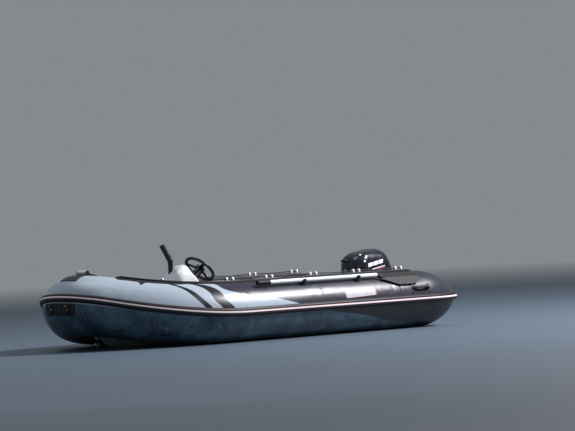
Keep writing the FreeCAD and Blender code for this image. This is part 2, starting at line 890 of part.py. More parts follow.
def make_locker_lid():
    """The lid, with the hinge's middle knuckle."""
    hinge = hinge_place()
    half = lid_hinge_length / 2
    low = locker_top - lid_thickness
    panel = locker_outline(0, low).extrude(up * lid_thickness)
    front, end, front_half, aft_half = locker_ends()
    ahead = block((front - lid_gap, hinge.x + lid_gap), (-aft_half, aft_half), (low, locker_top))
    panel = panel.cut(ahead)
    knuckle = rod(hinge - across * half, hinge + across * half, lid_hinge_radius)
    leaf = block((hinge.x, hinge.x + 3 * lid_hinge_radius), (-half, half),
                 (locker_top, hinge.z - lid_hinge_radius / 2))
    bore = rod(hinge - across * half, hinge + across * half, lid_hinge_radius / 2 + running_gap)
    return fused([panel, knuckle, leaf]).cut(bore)


# The console
def wheel_normal():
    """The way the steering wheel faces: aft and up."""
    tilt = math.radians(wheel_tilt)
    return point(math.sin(tilt), 0, math.cos(tilt))


def wheel_centre():
    """The middle of the steering wheel."""
    return point(wheel_x, 0, wheel_z)


def dash_middle():
    """Where the wheel's axis meets the console's sloping face."""
    return wheel_centre() - wheel_normal() * wheel_standoff


def make_console():
    """The moulded pod: an upright foot and a crown that rounds over to the front and the sides."""
    floor = deck_height + deck_thickness
    foot = Part.Face(rounded_outline(*console_foot, floor)).extrude(up * (console_shoulder - floor))
    sections = [rounded_outline(*console_foot, console_shoulder)]
    sections += [rounded_outline(*section) for section in console_sections]
    pod = fused([foot, Part.makeLoft(sections, True, False)])
    start = wheel_centre()
    end = start - wheel_normal() * (wheel_standoff + running_gap)
    return pod.cut(rod(start, end, helm_shaft_diameter / 2 + running_gap))


def make_helm(console):
    """The tapered boss on the pod's aft face that the steering shaft turns in."""
    end = wheel_centre() - wheel_normal() * (wheel_hub_length / 2 + glue_line)
    start = dash_middle() - wheel_normal() * helm_diameter
    length = (end - start).Length
    boss = Part.makeCone(helm_foot_diameter / 2, helm_diameter / 2, length, start, wheel_normal())
    return boss.cut(rod(start, end, helm_shaft_diameter / 2 + running_gap)).cut(console)


def make_steering_wheel():
    """The wheel: a round rim on flat spokes, a hub and its shaft."""
    rim_radius = (wheel_diameter - wheel_rim) / 2
    rim = Part.makeTorus(rim_radius, wheel_rim / 2)
    hub = Part.makeCylinder(wheel_hub_diameter / 2, wheel_hub_length, point(0, 0, -wheel_hub_length / 2))
    shaft_length = wheel_standoff - wheel_hub_length / 2 - glue_line
    shaft_foot = point(0, 0, -shaft_length - wheel_hub_length / 2)
    shaft = Part.makeCylinder(helm_shaft_diameter / 2, shaft_length, shaft_foot)
    parts = [rim, hub, shaft]
    half = wheel_spoke_thickness / 2
    for index in range(wheel_spokes):
        spoke = block((0, rim_radius), (-wheel_spoke_width / 2, wheel_spoke_width / 2), (-half, half))
        spoke.rotate(origin, up, 360.0 * index / wheel_spokes)
        parts.append(spoke)
    wheel = fused(parts)
    wheel.rotate(origin, across, wheel_tilt)
    wheel.translate(wheel_centre())
    return wheel


def make_display(console):
    """The instrument on the crown's shoulder, leaning ahead and swivelled to port."""
    half = display_foot_width / 2
    depth = display_foot_depth / 2
    foot = rounded_block((-depth, depth), (-half, half), (console_shoulder, display_foot_top), display_corner)
    foot.rotate(origin, up, display_swivel)
    foot.translate(point(display_x, display_y, 0))
    foot = foot.cut(console)
    foot = sorted(foot.Solids, key=lambda solid: solid.BoundBox.ZMax)[-1]
    half = display_width / 2
    depth = display_depth / 2
    case = rounded_block((-depth, depth), (-half, half), (0, display_height), display_corner)
    case.rotate(origin, across, -display_lean)
    case.rotate(origin, up, display_swivel)
    case.translate(point(display_x, display_y, display_foot_top - display_corner))
    return fused([case, foot])


def make_throttle_box():
    """The throttle's box on the console's starboard side."""
    half = throttle_length / 2
    face = console_foot[2]
    box = block((throttle_x - half, throttle_x + half), (face, face + throttle_depth),
                (throttle_z - throttle_height / 2, throttle_z + throttle_height / 2))
    outer = [edge for edge in box.Edges if edge.BoundBox.YMax - edge.BoundBox.YMin > throttle_depth - 1]
    return box.makeFillet(throttle_corner, outer)


def make_throttle_lever():
    """The single lever on the box, with its round grip."""
    start = throttle_depth + glue_line
    blade = block((-lever_width / 2, lever_width / 2), (start, start + lever_thickness),
                  (-lever_width / 2, lever_length))
    grip_low = point(0, start + lever_thickness / 2, lever_length)
    grip = Part.makeSphere(lever_knob_diameter / 2, grip_low)
    lever = fused([blade, grip])
    lever.rotate(origin, across, lever_lean)
    lever.translate(point(throttle_x, console_foot[2], throttle_z))
    return lever


def make_seat():
    """The jockey seat's moulded base and the cushion on it."""
    foot = deck_height + deck_thickness
    cushion_bottom = seat_height - cushion_thickness
    half = seat_half_width
    base = rounded_block((seat_front, seat_aft), (-half, half),
                         (foot, cushion_bottom - glue_line), seat_corner)
    grow = cushion_overhang
    cushion = rounded_block((seat_front - grow, seat_aft + grow), (-half - grow, half + grow),
                            (cushion_bottom, seat_height), seat_corner)
    return base, cushion


# The oars
def oar_axis(x):
    """A point of the port oar's shaft."""
    return on_section(tube_radius + oar_lift, oar_angle, x)


def blade_axis(x):
    """A point of the blade's middle line, lower on the tube than the shaft."""
    return on_section(tube_radius + oar_blade_lift, oar_blade_angle, x)


def make_oar():
    """The port oar: a straight shaft, a grip, and a ridged blade set low along the tube."""
    neck_end = blade_axis(oar_blade_start + oar_neck_length)
    shaft_end = oar_axis(oar_blade_start)
    shaft_radius = oar_shaft_diameter / 2
    shaft = rod(oar_axis(oar_grip_end), shaft_end, shaft_radius)
    grip = rod(oar_axis(oar_grip_end), oar_axis(oar_grip_end + oar_grip_length), oar_grip_diameter / 2)
    bend = Part.makeSphere(shaft_radius + glue_line, shaft_end)
    neck_line = neck_end - shaft_end
    neck = Part.makeCone(shaft_radius, oar_blade_thickness, neck_line.Length, shaft_end, neck_line)
    length = oar_blade_end - neck_end.x
    half = oar_blade_width / 2
    shoulder = length / 3
    low = -oar_blade_thickness / 2
    ridge = point(0, 0, oar_blade_thickness / 2)
    halves = []
    for side in (port, starboard):

        def at(along, sideways):
            return point(along, side * sideways, low)

        outline = Part.Wire([
            Part.makeLine(at(-oar_neck_length / 2, 0), at(-oar_neck_length / 2, oar_blade_thickness)),
            Part.makeLine(at(-oar_neck_length / 2, oar_blade_thickness), at(shoulder, half)),
            Part.makeLine(at(shoulder, half), at(length - half, half)),
            Part.Arc(at(length - half, half), at(length - half * (1 - math.sqrt(0.5)), half * math.sqrt(0.5)),
                     at(length, 0)).toShape(),
            Part.makeLine(at(length, 0), at(-oar_neck_length / 2, 0)),
        ])
        panel = Part.Face(outline).extrude(up * oar_blade_thickness)
        panel.rotate(ridge, aft, -side * oar_blade_ridge)
        halves.append(panel)
    blade = fused(halves)
    blade.rotate(origin, aft, 90 - oar_blade_angle)
    blade.translate(neck_end)
    return fused([shaft, grip, bend, neck, blade])


def make_oar_clips():
    """The sprung clips that hold the port oar, each on its pad."""
    clips = []
    for place in oar_clip_places:
        start = place - oar_clip_length / 2
        middle = oar_axis(start)
        bore_radius = oar_shaft_diameter / 2 + glue_line
        ring = Part.makeCylinder(bore_radius + oar_clip_wall, oar_clip_length, middle, aft)
        inner = strip_radius
        pad_top = tube_radius + oar_lift - bore_radius
        pad = band(inner, pad_top, oar_angle, oar_clip_base, start).extrude(aft * oar_clip_length)
        bore = Part.makeCylinder(bore_radius, oar_clip_length, middle, aft)
        mouth = band(tube_radius + oar_lift, tube_radius + oar_lift * 2, oar_angle, oar_clip_mouth, start)
        clip = fused([ring, pad]).cut(bore).cut(mouth.extrude(aft * oar_clip_length))
        core = Part.makeCylinder(inner, oar_clip_length, point(start, -tube_half_spacing, tube_height), aft)
        clips.append(clip.cut(core))
    return Part.makeCompound(clips + [mirrored(clip) for clip in clips])


# The fairlead on the nose of the bow
def at_nose(shape):
    """A shape at the start of the turn, carried all the way to the bow's middle."""
    copy = path.turned(shape, bow_turn_angle)
    copy.translate(path.heading * path.run)
    copy.rotate(path.nose_centre, path.nose_axis, math.degrees(path.nose_angle))
    return copy


def make_fairlead():
    """A pad over the nose of the bow, with two cheeks that carry a roller on a pin."""
    inner = strip_radius
    face = at_nose(band(inner, inner + fairlead_thickness, fairlead_angle, fairlead_length))
    half_pad = face.revolve(path.nose_centre, path.nose_axis, -fairlead_half_turn)
    middle = at_nose(Part.Vertex(on_section(inner + fairlead_thickness, 90))).Point
    axis_z = middle.z + roller_diameter / 2 + roller_gap
    cheek_y = roller_length / 2 + seam_gap

    def along_y(start, end, radius):
        return rod(point(middle.x, start, axis_z), point(middle.x, end, axis_z), radius)

    end_y = cheek_y + cheek_thickness
    parts = [half_pad, mirrored(half_pad), along_y(-end_y, end_y, roller_pin_diameter / 2)]
    front = middle.x - roller_diameter / 2
    low = middle.z - cheek_height
    tail = front + cheek_length
    outline = [(front, low), (tail, low), (tail, middle.z - cheek_tail_height),
               (middle.x, axis_z), (front, axis_z)]
    for y in (-end_y, cheek_y):
        cheek = face_of([point(x, y, z) for x, z in outline]).extrude(across * cheek_thickness)
        parts.append(cheek.fuse(along_y(y, y + cheek_thickness, roller_diameter / 2)))
    body = fused(parts).cut(collar_space())
    roller = along_y(-roller_length / 2, roller_length / 2, roller_diameter / 2)
    bore = along_y(-roller_length / 2, roller_length / 2, roller_pin_diameter / 2 + running_gap)
    return body, roller.cut(bore)


# The outboard motor
def tilt_line(half, radius):
    """A bar along the tilt axis."""
    return rod(point(tilt_axis_x, -half, tilt_axis_z), point(tilt_axis_x, half, tilt_axis_z), radius)


def steer_line(low, high, radius):
    """A bar along the steering axis."""
    return rod(point(steer_axis_x, 0, low), point(steer_axis_x, 0, high), radius)


def make_clamp_bracket():
    """The two hooked plates over the transom that carry the tilt tube."""
    inside = -transom_thickness - pad_thickness
    outside = pad_thickness + glue_line
    over = transom_top + pad_thickness
    arm_front = inside - clamp_jaw
    arm_aft = arm_front + clamp_plate_thickness
    boss = tilt_boss_radius
    arm_low = clamp_screw_z - 2 * clamp_screw_diameter
    outline = [(outside, tilt_axis_z - clamp_foot_drop),
               (tilt_axis_x + clamp_knee[0], tilt_axis_z + clamp_knee[1]),
               (tilt_axis_x + clamp_back[0], tilt_axis_z + clamp_back[1]),
               (tilt_axis_x + boss, tilt_axis_z), (tilt_axis_x, tilt_axis_z),
               (tilt_axis_x - boss, tilt_axis_z - boss / 2), (arm_front, over + clamp_plate_thickness),
               (arm_front, arm_low), (arm_aft, arm_low),
               (arm_aft, over - boss), (inside, over), (outside, over)]
    plates = []
    for side in (port, starboard):
        middle = side * clamp_half_spacing
        y = middle - clamp_plate_thickness / 2
        face = face_of([point(px, y, pz) for px, pz in outline])
        plate = face.extrude(across * clamp_plate_thickness)
        centre = point(tilt_axis_x, y, tilt_axis_z)
        plate = fused([plate, rod(centre, centre + across * clamp_plate_thickness, boss)])
        plate = plate.cut(tilt_line(tilt_tube_half_length, tilt_tube_diameter / 2 + running_gap))
        screw_hole = rod(point(arm_front, middle, clamp_screw_z), point(arm_aft, middle, clamp_screw_z),
                         clamp_screw_diameter / 2 + running_gap)
        plates.append(plate.cut(screw_hole))
    return Part.makeCompound(plates)


def make_clamp_screws():
    """The two clamp screws with their feet and cross bars."""
    inside = -transom_thickness - pad_thickness - glue_line
    screws = []
    for side in (port, starboard):
        y = side * clamp_half_spacing
        tip = point(inside, y, clamp_screw_z)
        head = point(inside - clamp_jaw - clamp_screw_reach, y, clamp_screw_z)
        screw = rod(tip, head, clamp_screw_diameter / 2)
        foot = rod(tip, tip - aft * clamp_bar_diameter, clamp_foot_diameter / 2)
        middle = head + aft * clamp_screw_diameter
        half_bar = up * (clamp_bar_length / 2)
        bar = rod(middle - half_bar, middle + half_bar, clamp_bar_diameter / 2)
        screws.append(fused([screw, foot, bar]))
    return Part.makeCompound(screws)


def make_tilt_tube():
    """The tube that the motor tilts on, with a nut at each end, bored for the steering ram."""
    nut_start = clamp_half_spacing + clamp_plate_thickness / 2 + glue_line
    parts = [tilt_line(tilt_tube_half_length, tilt_tube_diameter / 2)]
    for side in (port, starboard):
        inner = point(tilt_axis_x, side * nut_start, tilt_axis_z)
        outer = point(tilt_axis_x, side * tilt_tube_half_length, tilt_axis_z)
        parts.append(rod(inner, outer, tilt_nut_diameter / 2))
    return fused(parts).cut(tilt_line(tilt_tube_half_length, ram_diameter / 2 + running_gap))


def make_swivel():
    """The bracket that tilts: a sleeve on the tilt tube, a web and the steering tube."""
    tube_outer = steer_shaft_diameter / 2 + steer_tube_wall
    sleeve = tilt_line(swivel_half_width, tilt_boss_radius)
    upright = steer_line(steer_tube_bottom, steer_tube_top, tube_outer)
    boss = swivel_web_rise
    foot_z = steer_tube_bottom + boss
    outline = [(tilt_axis_x, tilt_axis_z + boss), (steer_axis_x, tilt_axis_z + boss / 2),
               (steer_axis_x, foot_z), (steer_axis_x - steer_shaft_diameter / 2, foot_z),
               (tilt_axis_x + boss, tilt_axis_z - 3 * boss), (tilt_axis_x, tilt_axis_z - boss)]
    web = side_profile(outline, swivel_web_half_width)
    wings = side_profile([(tilt_axis_x, tilt_axis_z + boss), (steer_axis_x, tilt_axis_z + boss / 2),
                          (steer_axis_x, tilt_axis_z - boss), (tilt_axis_x, tilt_axis_z - boss)],
                         swivel_wing_half_width)
    bracket = fused([sleeve, upright, web, wings])
    bracket = bracket.cut(tilt_line(swivel_half_width, tilt_tube_diameter / 2 + running_gap))
    bore = steer_shaft_diameter / 2 + running_gap
    return bracket.cut(steer_line(steer_tube_bottom, tilt_axis_z + 2 * boss, bore))


def top_yoke_z():
    """The heights of the yoke over the steering tube."""
    low = steer_tube_top + yoke_gap
    return low, low + yoke_thickness


def make_steer_yoke():
    """What steers: the shaft in its tube, a yoke at each end of it and the steering arm."""
    low, high = top_yoke_z()
    foot_high = steer_tube_bottom - yoke_gap
    foot_low = foot_high - yoke_thickness
    half = steer_shaft_diameter
    parts = [steer_line(foot_low, high, steer_shaft_diameter / 2)]
    for bottom, top in ((low, high), (foot_low, foot_high)):
        parts.append(steer_line(bottom, top, half))
        parts.append(block((steer_axis_x, leg_front + half / 4), (-half, half), (bottom, top)))
    arm_top = low + steer_arm_thickness
    tip = steer_axis_x - steer_arm_length
    arm_half = steer_arm_width / 2
    parts.append(block((tip, steer_axis_x), (-arm_half, arm_half), (low, arm_top)))
    parts.append(rod(point(tip, 0, low), point(tip, 0, arm_top), arm_half))
    hole = rod(point(tip, 0, low), point(tip, 0, arm_top), link_bar_diameter / 2)
    return fused(parts).cut(hole).cut(make_leg())


def make_steering_ram():
    """The steering ram on the tilt axis, its end fitting and the bar back to the steering arm."""
    low, high = top_yoke_z()
    bar_z = low + steer_arm_thickness + link_gap + link_bar_diameter / 2
    tip = steer_axis_x - steer_arm_length
    start = point(tilt_axis_x, -tilt_tube_half_length / 2, tilt_axis_z)
    end = point(tilt_axis_x, ram_reach, tilt_axis_z)
    bar_end = point(tip, ram_reach, bar_z)
    knuckle = link_bar_diameter
    parts = [rod(start, end, ram_diameter / 2), rod(end, bar_end, link_arm_diameter / 2),
             rod(bar_end, point(tip, 0, bar_z), knuckle / 2)]
    for centre, radius in ((end, knuckle), (bar_end, knuckle)):
        parts.append(Part.makeSphere(radius, centre))
    eye_low = point(tip, 0, bar_z - knuckle / 2)
    parts.append(rod(eye_low, eye_low + up * knuckle, knuckle))
    return fused(parts).cut(rod(eye_low, eye_low + up * knuckle, knuckle / 2))


def teardrop(z, front, length, width):
    """A streamlined section: a round front, tapering to a small round tail."""
    nose = width / 2
    tail = width / 8
    back = front + length

    def at(x, y):
        return point(x, y, z)

    return Part.Wire([
        Part.Arc(at(front + nose, -nose), at(front, 0), at(front + nose, nose)).toShape(),
        Part.makeLine(at(front + nose, nose), at(back - tail, tail)),
        Part.Arc(at(back - tail, tail), at(back, 0), at(back - tail, -tail)).toShape(),
        Part.makeLine(at(back - tail, -tail), at(front + nose, -nose)),
    ])


def make_leg():
    """The leg from the cowl down to the plate over the propeller."""
    top = teardrop(cowl_bottom, leg_front, leg_length, leg_width)
    foot = teardrop(cavitation_plate_z, leg_front, leg_foot_length, leg_foot_width)
    return Part.makeLoft([top, foot], True)


def make_gearcase():
    """The plate over the propeller, the strut, the torpedo with its shaft bore, and the skeg."""
    plate_half = cavitation_plate_width / 2
    tail_half = cavitation_plate_tail_width / 2
    round_end = cavitation_plate_front + plate_half
    plate_low = cavitation_plate_z - cavitation_plate_thickness

    def at(x, y):
        return point(x, y, plate_low)

    outline = Part.Wire([
        Part.Arc(at(round_end, -plate_half), at(cavitation_plate_front, 0),
                 at(round_end, plate_half)).toShape(),
        Part.makeLine(at(round_end, plate_half), at(cavitation_plate_aft, tail_half)),
        Part.makeLine(at(cavitation_plate_aft, tail_half), at(cavitation_plate_aft, -tail_half)),
        Part.makeLine(at(cavitation_plate_aft, -tail_half), at(round_end, -plate_half)),
    ])
    plate = Part.Face(outline).extrude(up * cavitation_plate_thickness)
    strut = Part.makeLoft([teardrop(plate_low, leg_front, leg_foot_length, leg_foot_width),
                           teardrop(gearcase_z, leg_front, strut_length, strut_width)], True)
    radius = gearcase_diameter / 2

    def side(x, out):
        return point(x, out, gearcase_z)

    nose = gearcase_front + 2 * radius
    tail = gearcase_aft - 2 * radius
    tail_radius = propeller_hub_diameter / 2
    lean = math.radians(30)
    shoulder = side(nose - 2 * radius * math.cos(lean), radius * math.sin(lean))
    profile = Part.Wire([
        Part.makeLine(side(gearcase_front, 0), side(gearcase_aft, 0)),
        Part.makeLine(side(gearcase_aft, 0), side(gearcase_aft, tail_radius)),
        Part.makeLine(side(gearcase_aft, tail_radius), side(tail, radius)),
        Part.makeLine(side(tail, radius), side(nose, radius)),
        Part.Arc(side(nose, radius), shoulder, side(gearcase_front, 0)).toShape(),
    ])
    torpedo = Part.Face(profile).revolve(side(gearcase_front, 0), aft, 360)
    skeg_top = gearcase_z - radius / 2
    skeg_low = gearcase_z - radius - skeg_depth
    skeg = side_profile([(nose - radius, skeg_top), (nose + radius, skeg_low), (tail + radius, skeg_low),
                         (gearcase_aft - radius / 2, skeg_top)], skeg_thickness / 2)
    case = fused([plate, strut, torpedo, skeg])
    bore = rod(side(tail, 0), side(gearcase_aft, 0), propeller_shaft_diameter / 2 + running_gap)
    return case.cut(bore)


def propeller_blade():
    """One blade: three flat sections, each turned to the pitch at its radius."""
    reach = propeller_diameter / 2
    sections = []
    for share, chord, thickness in blade_sections:
        radius = share * reach
        angle = math.atan2(propeller_pitch, 2 * math.pi * radius)
        corners = []
        for along, across_face in ((-chord / 2, 0), (0, thickness / 2), (chord / 2, 0), (0, -thickness / 2)):
            x = along * math.sin(angle) + across_face * math.cos(angle)
            y = along * math.cos(angle) - across_face * math.sin(angle)
            corners.append(point(x, y, radius))
        sections.append(Part.makePolygon(corners + [corners[0]]))
    return Part.makeLoft(sections, True)


def make_propeller():
    """The hub, its shaft and the blades."""
    start = gearcase_aft + propeller_gap
    hub_end = start + propeller_hub_length
    centre = point(start, 0, gearcase_z)
    hub_radius = propeller_hub_diameter / 2
    hub = Part.makeCone(hub_radius, hub_radius * propeller_hub_taper, propeller_hub_length, centre, aft)
    tail = gearcase_aft - gearcase_diameter
    shaft = rod(point(tail, 0, gearcase_z), point(hub_end, 0, gearcase_z), propeller_shaft_diameter / 2)
    parts = [hub, shaft]
    for index in range(propeller_blades):
        blade = propeller_blade()
        blade.rotate(origin, aft, 360.0 * index / propeller_blades)
        blade.translate(point((start + hub_end) / 2, 0, gearcase_z))
        parts.append(blade)
    return fused(parts)


def cowl_outline(height, inset, share=1.0, shift=0.0):
    """The cowl's level outline at a height, at a share of its size and shifted aft."""
    middle = cowl_front + cowl_length / 2 + shift
    reach = cowl_length / 2 * share - inset
    corner = cowl_corner * share - inset * share
    return rounded_outline(middle - reach, middle + reach, cowl_width / 2 * share - inset, corner, height)


def cowl_ring(inset, low, high):
    """A wall of the cowl's full size, cut to the cowl's wall thickness."""
    outer = Part.Face(cowl_outline(low, inset)).extrude(up * (high - low))
    return outer, Part.Face(cowl_outline(low, inset + cowl_wall)).extrude(up * (high - low))


def cowl_dome(inset, low):
    """The upper cowl's form, rounded over to its crown."""
    wires = [cowl_outline(low, inset)]
    wires += [cowl_outline(height - inset, inset, share, shift) for height, share, shift in cowl_sections]
    return Part.makeLoft(wires, True, False)


def make_cowl():
    """The cowl's pan with its floor, the seal and the upper cowl, each a thin wall."""
    outer = cowl_ring(0, cowl_bottom, cowl_seam_height)[0]
    pan = outer.cut(cowl_ring(0, cowl_bottom + cowl_wall, cowl_seam_height)[1])
    seal_top = cowl_seam_height + seal_height
    seal_outer, seal_inner = cowl_ring(seal_inset, cowl_seam_height, seal_top)
    cover = cowl_dome(0, seal_top).cut(cowl_dome(cowl_wall, seal_top))
    return pan, seal_outer.cut(seal_inner), cover


def make_powerhead():
    """The engine's weight under the cowl, as one plain block on the pan's floor."""
    low = cowl_bottom + cowl_wall
    half = powerhead_half_width
    length = (powerhead_front, powerhead_front + powerhead_length)
    return block(length, (-half, half), (low, low + powerhead_height))


def main():
    """Make and write every piece."""
    os.makedirs("parts", exist_ok=True)
    tube_port, tube_starboard, tube_bow = make_collar()
    save("tube_port", tube_port)
    save("tube_starboard", tube_starboard)
    save("tube_bow", tube_bow)
    save("rub_strake", round_the_boat(strake_wire))
    save("strake_stripe", round_the_boat(stripe_wire))
    save("wear_strips", make_wear_strips())
    save("lifeline_eyelets", make_eyelets())
    save("lifelines", make_lifelines())
    save("stern_handles", make_stern_handles())
    patches, rings = make_tow_points()
    save("tow_patches", patches)
    save("tow_rings", rings)
    save("valves", make_valves())
    save("hull", make_hull())
    save("keel_strip", make_keel_strip())
    save("deck", make_deck())
    save("transom", make_transom())
    save("transom_pads", make_transom_pads())
    save("stern_eyes", make_stern_eyes())
    save("bow_eye", make_bow_eye())
    save("drains", make_drains())
    save("bow_locker", make_locker())
    save("locker_hinge", make_locker_hinge())
    save("locker_lid", make_locker_lid())
    console = make_console()
    save("console", console)
    save("helm", make_helm(console))
    save("steering_wheel", make_steering_wheel())
    save("display", make_display(console))
    save("throttle_box", make_throttle_box())
    save("throttle_lever", make_throttle_lever())
    seat, cushion = make_seat()
    save("seat_base", seat)
    save("seat_cushion", cushion)
    oar = make_oar()
    save("oar_port", oar)
    save("oar_starboard", mirrored(oar))
    save("oar_clips", make_oar_clips())
    fairlead, roller = make_fairlead()
    save("fairlead", fairlead)
    save("bow_roller", roller)
    save("clamp_bracket", make_clamp_bracket())
    save("clamp_screws", make_clamp_screws())
    save("tilt_tube", make_tilt_tube())
    save("swivel_bracket", make_swivel())
    save("steer_yoke", make_steer_yoke())
    save("steering_ram", make_steering_ram())
    save("leg", make_leg())
    save("gearcase", make_gearcase())
    save("propeller", make_propeller())
    pan, seal, cover = make_cowl()
    save("cowl_pan", pan)
    save("cowl_seal", seal)
    save("cowl", cover)
    save("powerhead", make_powerhead())


main()
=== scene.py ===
# %% [markdown]
# # A small rigid inflatable boat
# The frame holds the boat's hard pieces at their true size: hull, motor, console, fittings.
# This lesson dresses it. The air-filled collar becomes a smooth fabric skin with its painted
# pattern, the trims and cushions become soft pieces, and every surface gets a finish that starts
# from the real material.

# %% The frame and the shared values
import math
import bpy
import bmesh
import numpy as np
from mathutils import Matrix, Vector


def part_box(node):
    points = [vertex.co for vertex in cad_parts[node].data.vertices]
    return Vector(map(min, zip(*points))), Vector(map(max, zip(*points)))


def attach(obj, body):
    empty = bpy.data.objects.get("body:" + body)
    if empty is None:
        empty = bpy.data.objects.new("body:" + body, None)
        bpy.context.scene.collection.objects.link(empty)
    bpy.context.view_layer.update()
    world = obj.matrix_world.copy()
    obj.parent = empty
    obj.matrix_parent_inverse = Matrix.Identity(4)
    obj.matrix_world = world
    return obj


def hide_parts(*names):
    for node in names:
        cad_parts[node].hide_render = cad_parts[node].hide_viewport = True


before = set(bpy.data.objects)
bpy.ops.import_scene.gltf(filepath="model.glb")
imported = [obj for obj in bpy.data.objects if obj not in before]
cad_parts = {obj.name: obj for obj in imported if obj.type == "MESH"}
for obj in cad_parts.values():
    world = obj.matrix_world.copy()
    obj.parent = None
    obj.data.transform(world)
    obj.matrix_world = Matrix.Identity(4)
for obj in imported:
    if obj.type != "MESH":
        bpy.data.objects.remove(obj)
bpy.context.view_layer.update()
scene = bpy.context.scene
scene.view_settings.view_transform = "Standard"
MM = 0.001
SHARP_BEND = 38
TURNED_BEND = 35
print("pieces in the frame:", len(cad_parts))

# %% [markdown]
# ## Colours and node trees
# A paint chart gives sRGB values, but a shader works in linear light. One function makes that
# change, so every colour below can be written as it is read from a chart. Another small function
# adds a node, sets it and links it, which keeps each material short enough to read.

# %% Helpers for materials
def tint(code):
    """An sRGB hex colour as the linear colour a shader needs."""
    parts = [int(code[i:i + 2], 16) / 255 for i in (1, 3, 5)]
    linear = [p / 12.92 if p <= 0.04045 else ((p + 0.055) / 1.055) ** 2.4 for p in parts]
    return (*linear, 1.0)


def add(tree, kind, settings=None, **inputs):
    """Add a node. Inputs name its sockets: a socket to link from, or a value."""
    node = tree.nodes.new(kind)
    for name, value in (settings or {}).items():
        setattr(node, name, value)
    for name, value in inputs.items():
        key = int(name[1:]) if name[0] == "_" and name[1:].isdigit() else name.replace("_", " ")
        if isinstance(value, bpy.types.NodeSocket):
            tree.links.new(value, node.inputs[key])
        else:
            node.inputs[key].default_value = value
    return node


def new_material(name, roughness=0.5, metallic=0.0, colour="#808080", ior=None, **extra):
    """A material with its shader, and the tree to build on."""
    material = bpy.data.materials.new(name)
    material.use_nodes = True
    tree = material.node_tree
    shader = tree.nodes["Principled BSDF"]
    shader.inputs["Base Color"].default_value = tint(colour)
    shader.inputs["Roughness"].default_value = roughness
    shader.inputs["Metallic"].default_value = metallic
    if ior:
        shader.inputs["IOR"].default_value = ior
    for key, value in extra.items():
        shader.inputs[key.replace("_", " ")].default_value = value
    material.diffuse_color = tint(colour)
    return material, tree, shader


def bump(tree, shader, height, strength, distance):
    """Feed a height into the shader's normal."""
    node = add(tree, "ShaderNodeBump", Height=height, Strength=strength, Distance=distance)
    tree.links.new(node.outputs["Normal"], shader.inputs["Normal"])
    return node


def noise(tree, where, scale, detail=3.0, roughness=0.5):
    """A noise at a number of features to the metre."""
    node = add(tree, "ShaderNodeTexNoise", Vector=where, Scale=scale, Detail=detail, Roughness=roughness)
    return node.outputs["Fac"]


def ramp(tree, value, low, high, start=0.0, end=1.0):
    """Stretch a value between two limits, clamped."""
    node = add(tree, "ShaderNodeMapRange", Value=value, From_Min=low, From_Max=high, To_Min=start, To_Max=end)
    return node.outputs["Result"]


def blend_colours(tree, share, first, second, kind="MIX"):
    """Mix two colours, each a hex code or a socket."""
    node = add(tree, "ShaderNodeMix", {"data_type": "RGBA", "blend_type": kind})
    for index, value in ((0, share), (6, first), (7, second)):
        if isinstance(value, bpy.types.NodeSocket):
            tree.links.new(value, node.inputs[index])
        elif isinstance(value, str):
            node.inputs[index].default_value = tint(value)
        else:
            node.inputs[index].default_value = value
    return node.outputs[2]


def maths(tree, kind, first, second=0.0):
    """One step of arithmetic on two values."""
    return add(tree, "ShaderNodeMath", {"operation": kind}, _0=first, _1=second).outputs[0]


def times(tree, first, second):
    """Two values multiplied."""
    return maths(tree, "MULTIPLY", first, second)


def plus(tree, first, second):
    """Two values added."""
    return maths(tree, "ADD", first, second)


def minus(tree, first, second):
    """The second value taken from the first."""
    return maths(tree, "SUBTRACT", first, second)


def most(tree, first, second):
    """The larger of two values."""
    return maths(tree, "MAXIMUM", first, second)


def feed(shader, name, value):
    """Link a value to one of the shader's inputs."""
    shader.id_data.links.new(value, shader.inputs[name])


def spot_on_object(tree):
    """Where a point is on the boat, in metres."""
    return add(tree, "ShaderNodeTexCoord").outputs["Object"]


def skin_marks(tree):
    """The measurements that a swept or laid piece carries: along it, and across it."""
    return add(tree, "ShaderNodeUVMap", {"uv_map": "skin"}).outputs["UV"]


def waves(tree, where, way, scale):
    """Even bands across X or Y."""
    return add(tree, "ShaderNodeTexWave", {"bands_direction": way}, Vector=where, Scale=scale).outputs["Fac"]


def vector_step(tree, kind, first, **second):
    """One step of arithmetic on vectors."""
    return add(tree, "ShaderNodeVectorMath", {"operation": kind}, _0=first, **second)


def stretched(tree, where, scale):
    """The same place with its axes scaled, for marks that run one way."""
    return add(tree, "ShaderNodeMapping", Vector=where, Scale=scale).outputs[0]


# %% [markdown]
# ## From points to pieces
# Every made shape ends the same way: its normals are turned outward, its sharp bends are kept
# crisp, and an object shows it in the scene. A face can carry two measurements for its pattern.

# %% Helpers for meshes
def place_piece(name, mesh):
    """An object that shows a mesh, or another kind of data, put in the scene."""
    piece = bpy.data.objects.new(name, mesh)
    scene.collection.objects.link(piece)
    return piece


def finish_piece(name, build, sharp=None, mesh=None, turn=None):
    """A piece made from a build. Edges that bend by sharp degrees or more are kept crisp."""
    bmesh.ops.recalc_face_normals(build, faces=build.faces)
    if sharp:
        for edge in build.edges:
            edge.smooth = edge.calc_face_angle(0.0) < math.radians(sharp)
    if turn:
        build.transform(turn)
    mesh = mesh or bpy.data.meshes.new(name)
    build.to_mesh(mesh)
    build.free()
    return place_piece(name, mesh)


def marked_face(build, layer, corners, marks, steps):
    """A smooth face with its U and V. V is counted in steps round the piece."""
    face = build.faces.new(corners)
    face.smooth = True
    for loop, (u, v) in zip(face.loops, marks):
        loop[layer].uv = (u, v / steps)


def round_ring(spot, out, up, radius, steps):
    """Points round a spot, in the plane of two directions."""
    turns = [2 * math.pi * k / steps for k in range(steps)]
    return np.array([tuple(spot + (out * math.cos(turn) + up * math.sin(turn)) * radius) for turn in turns])


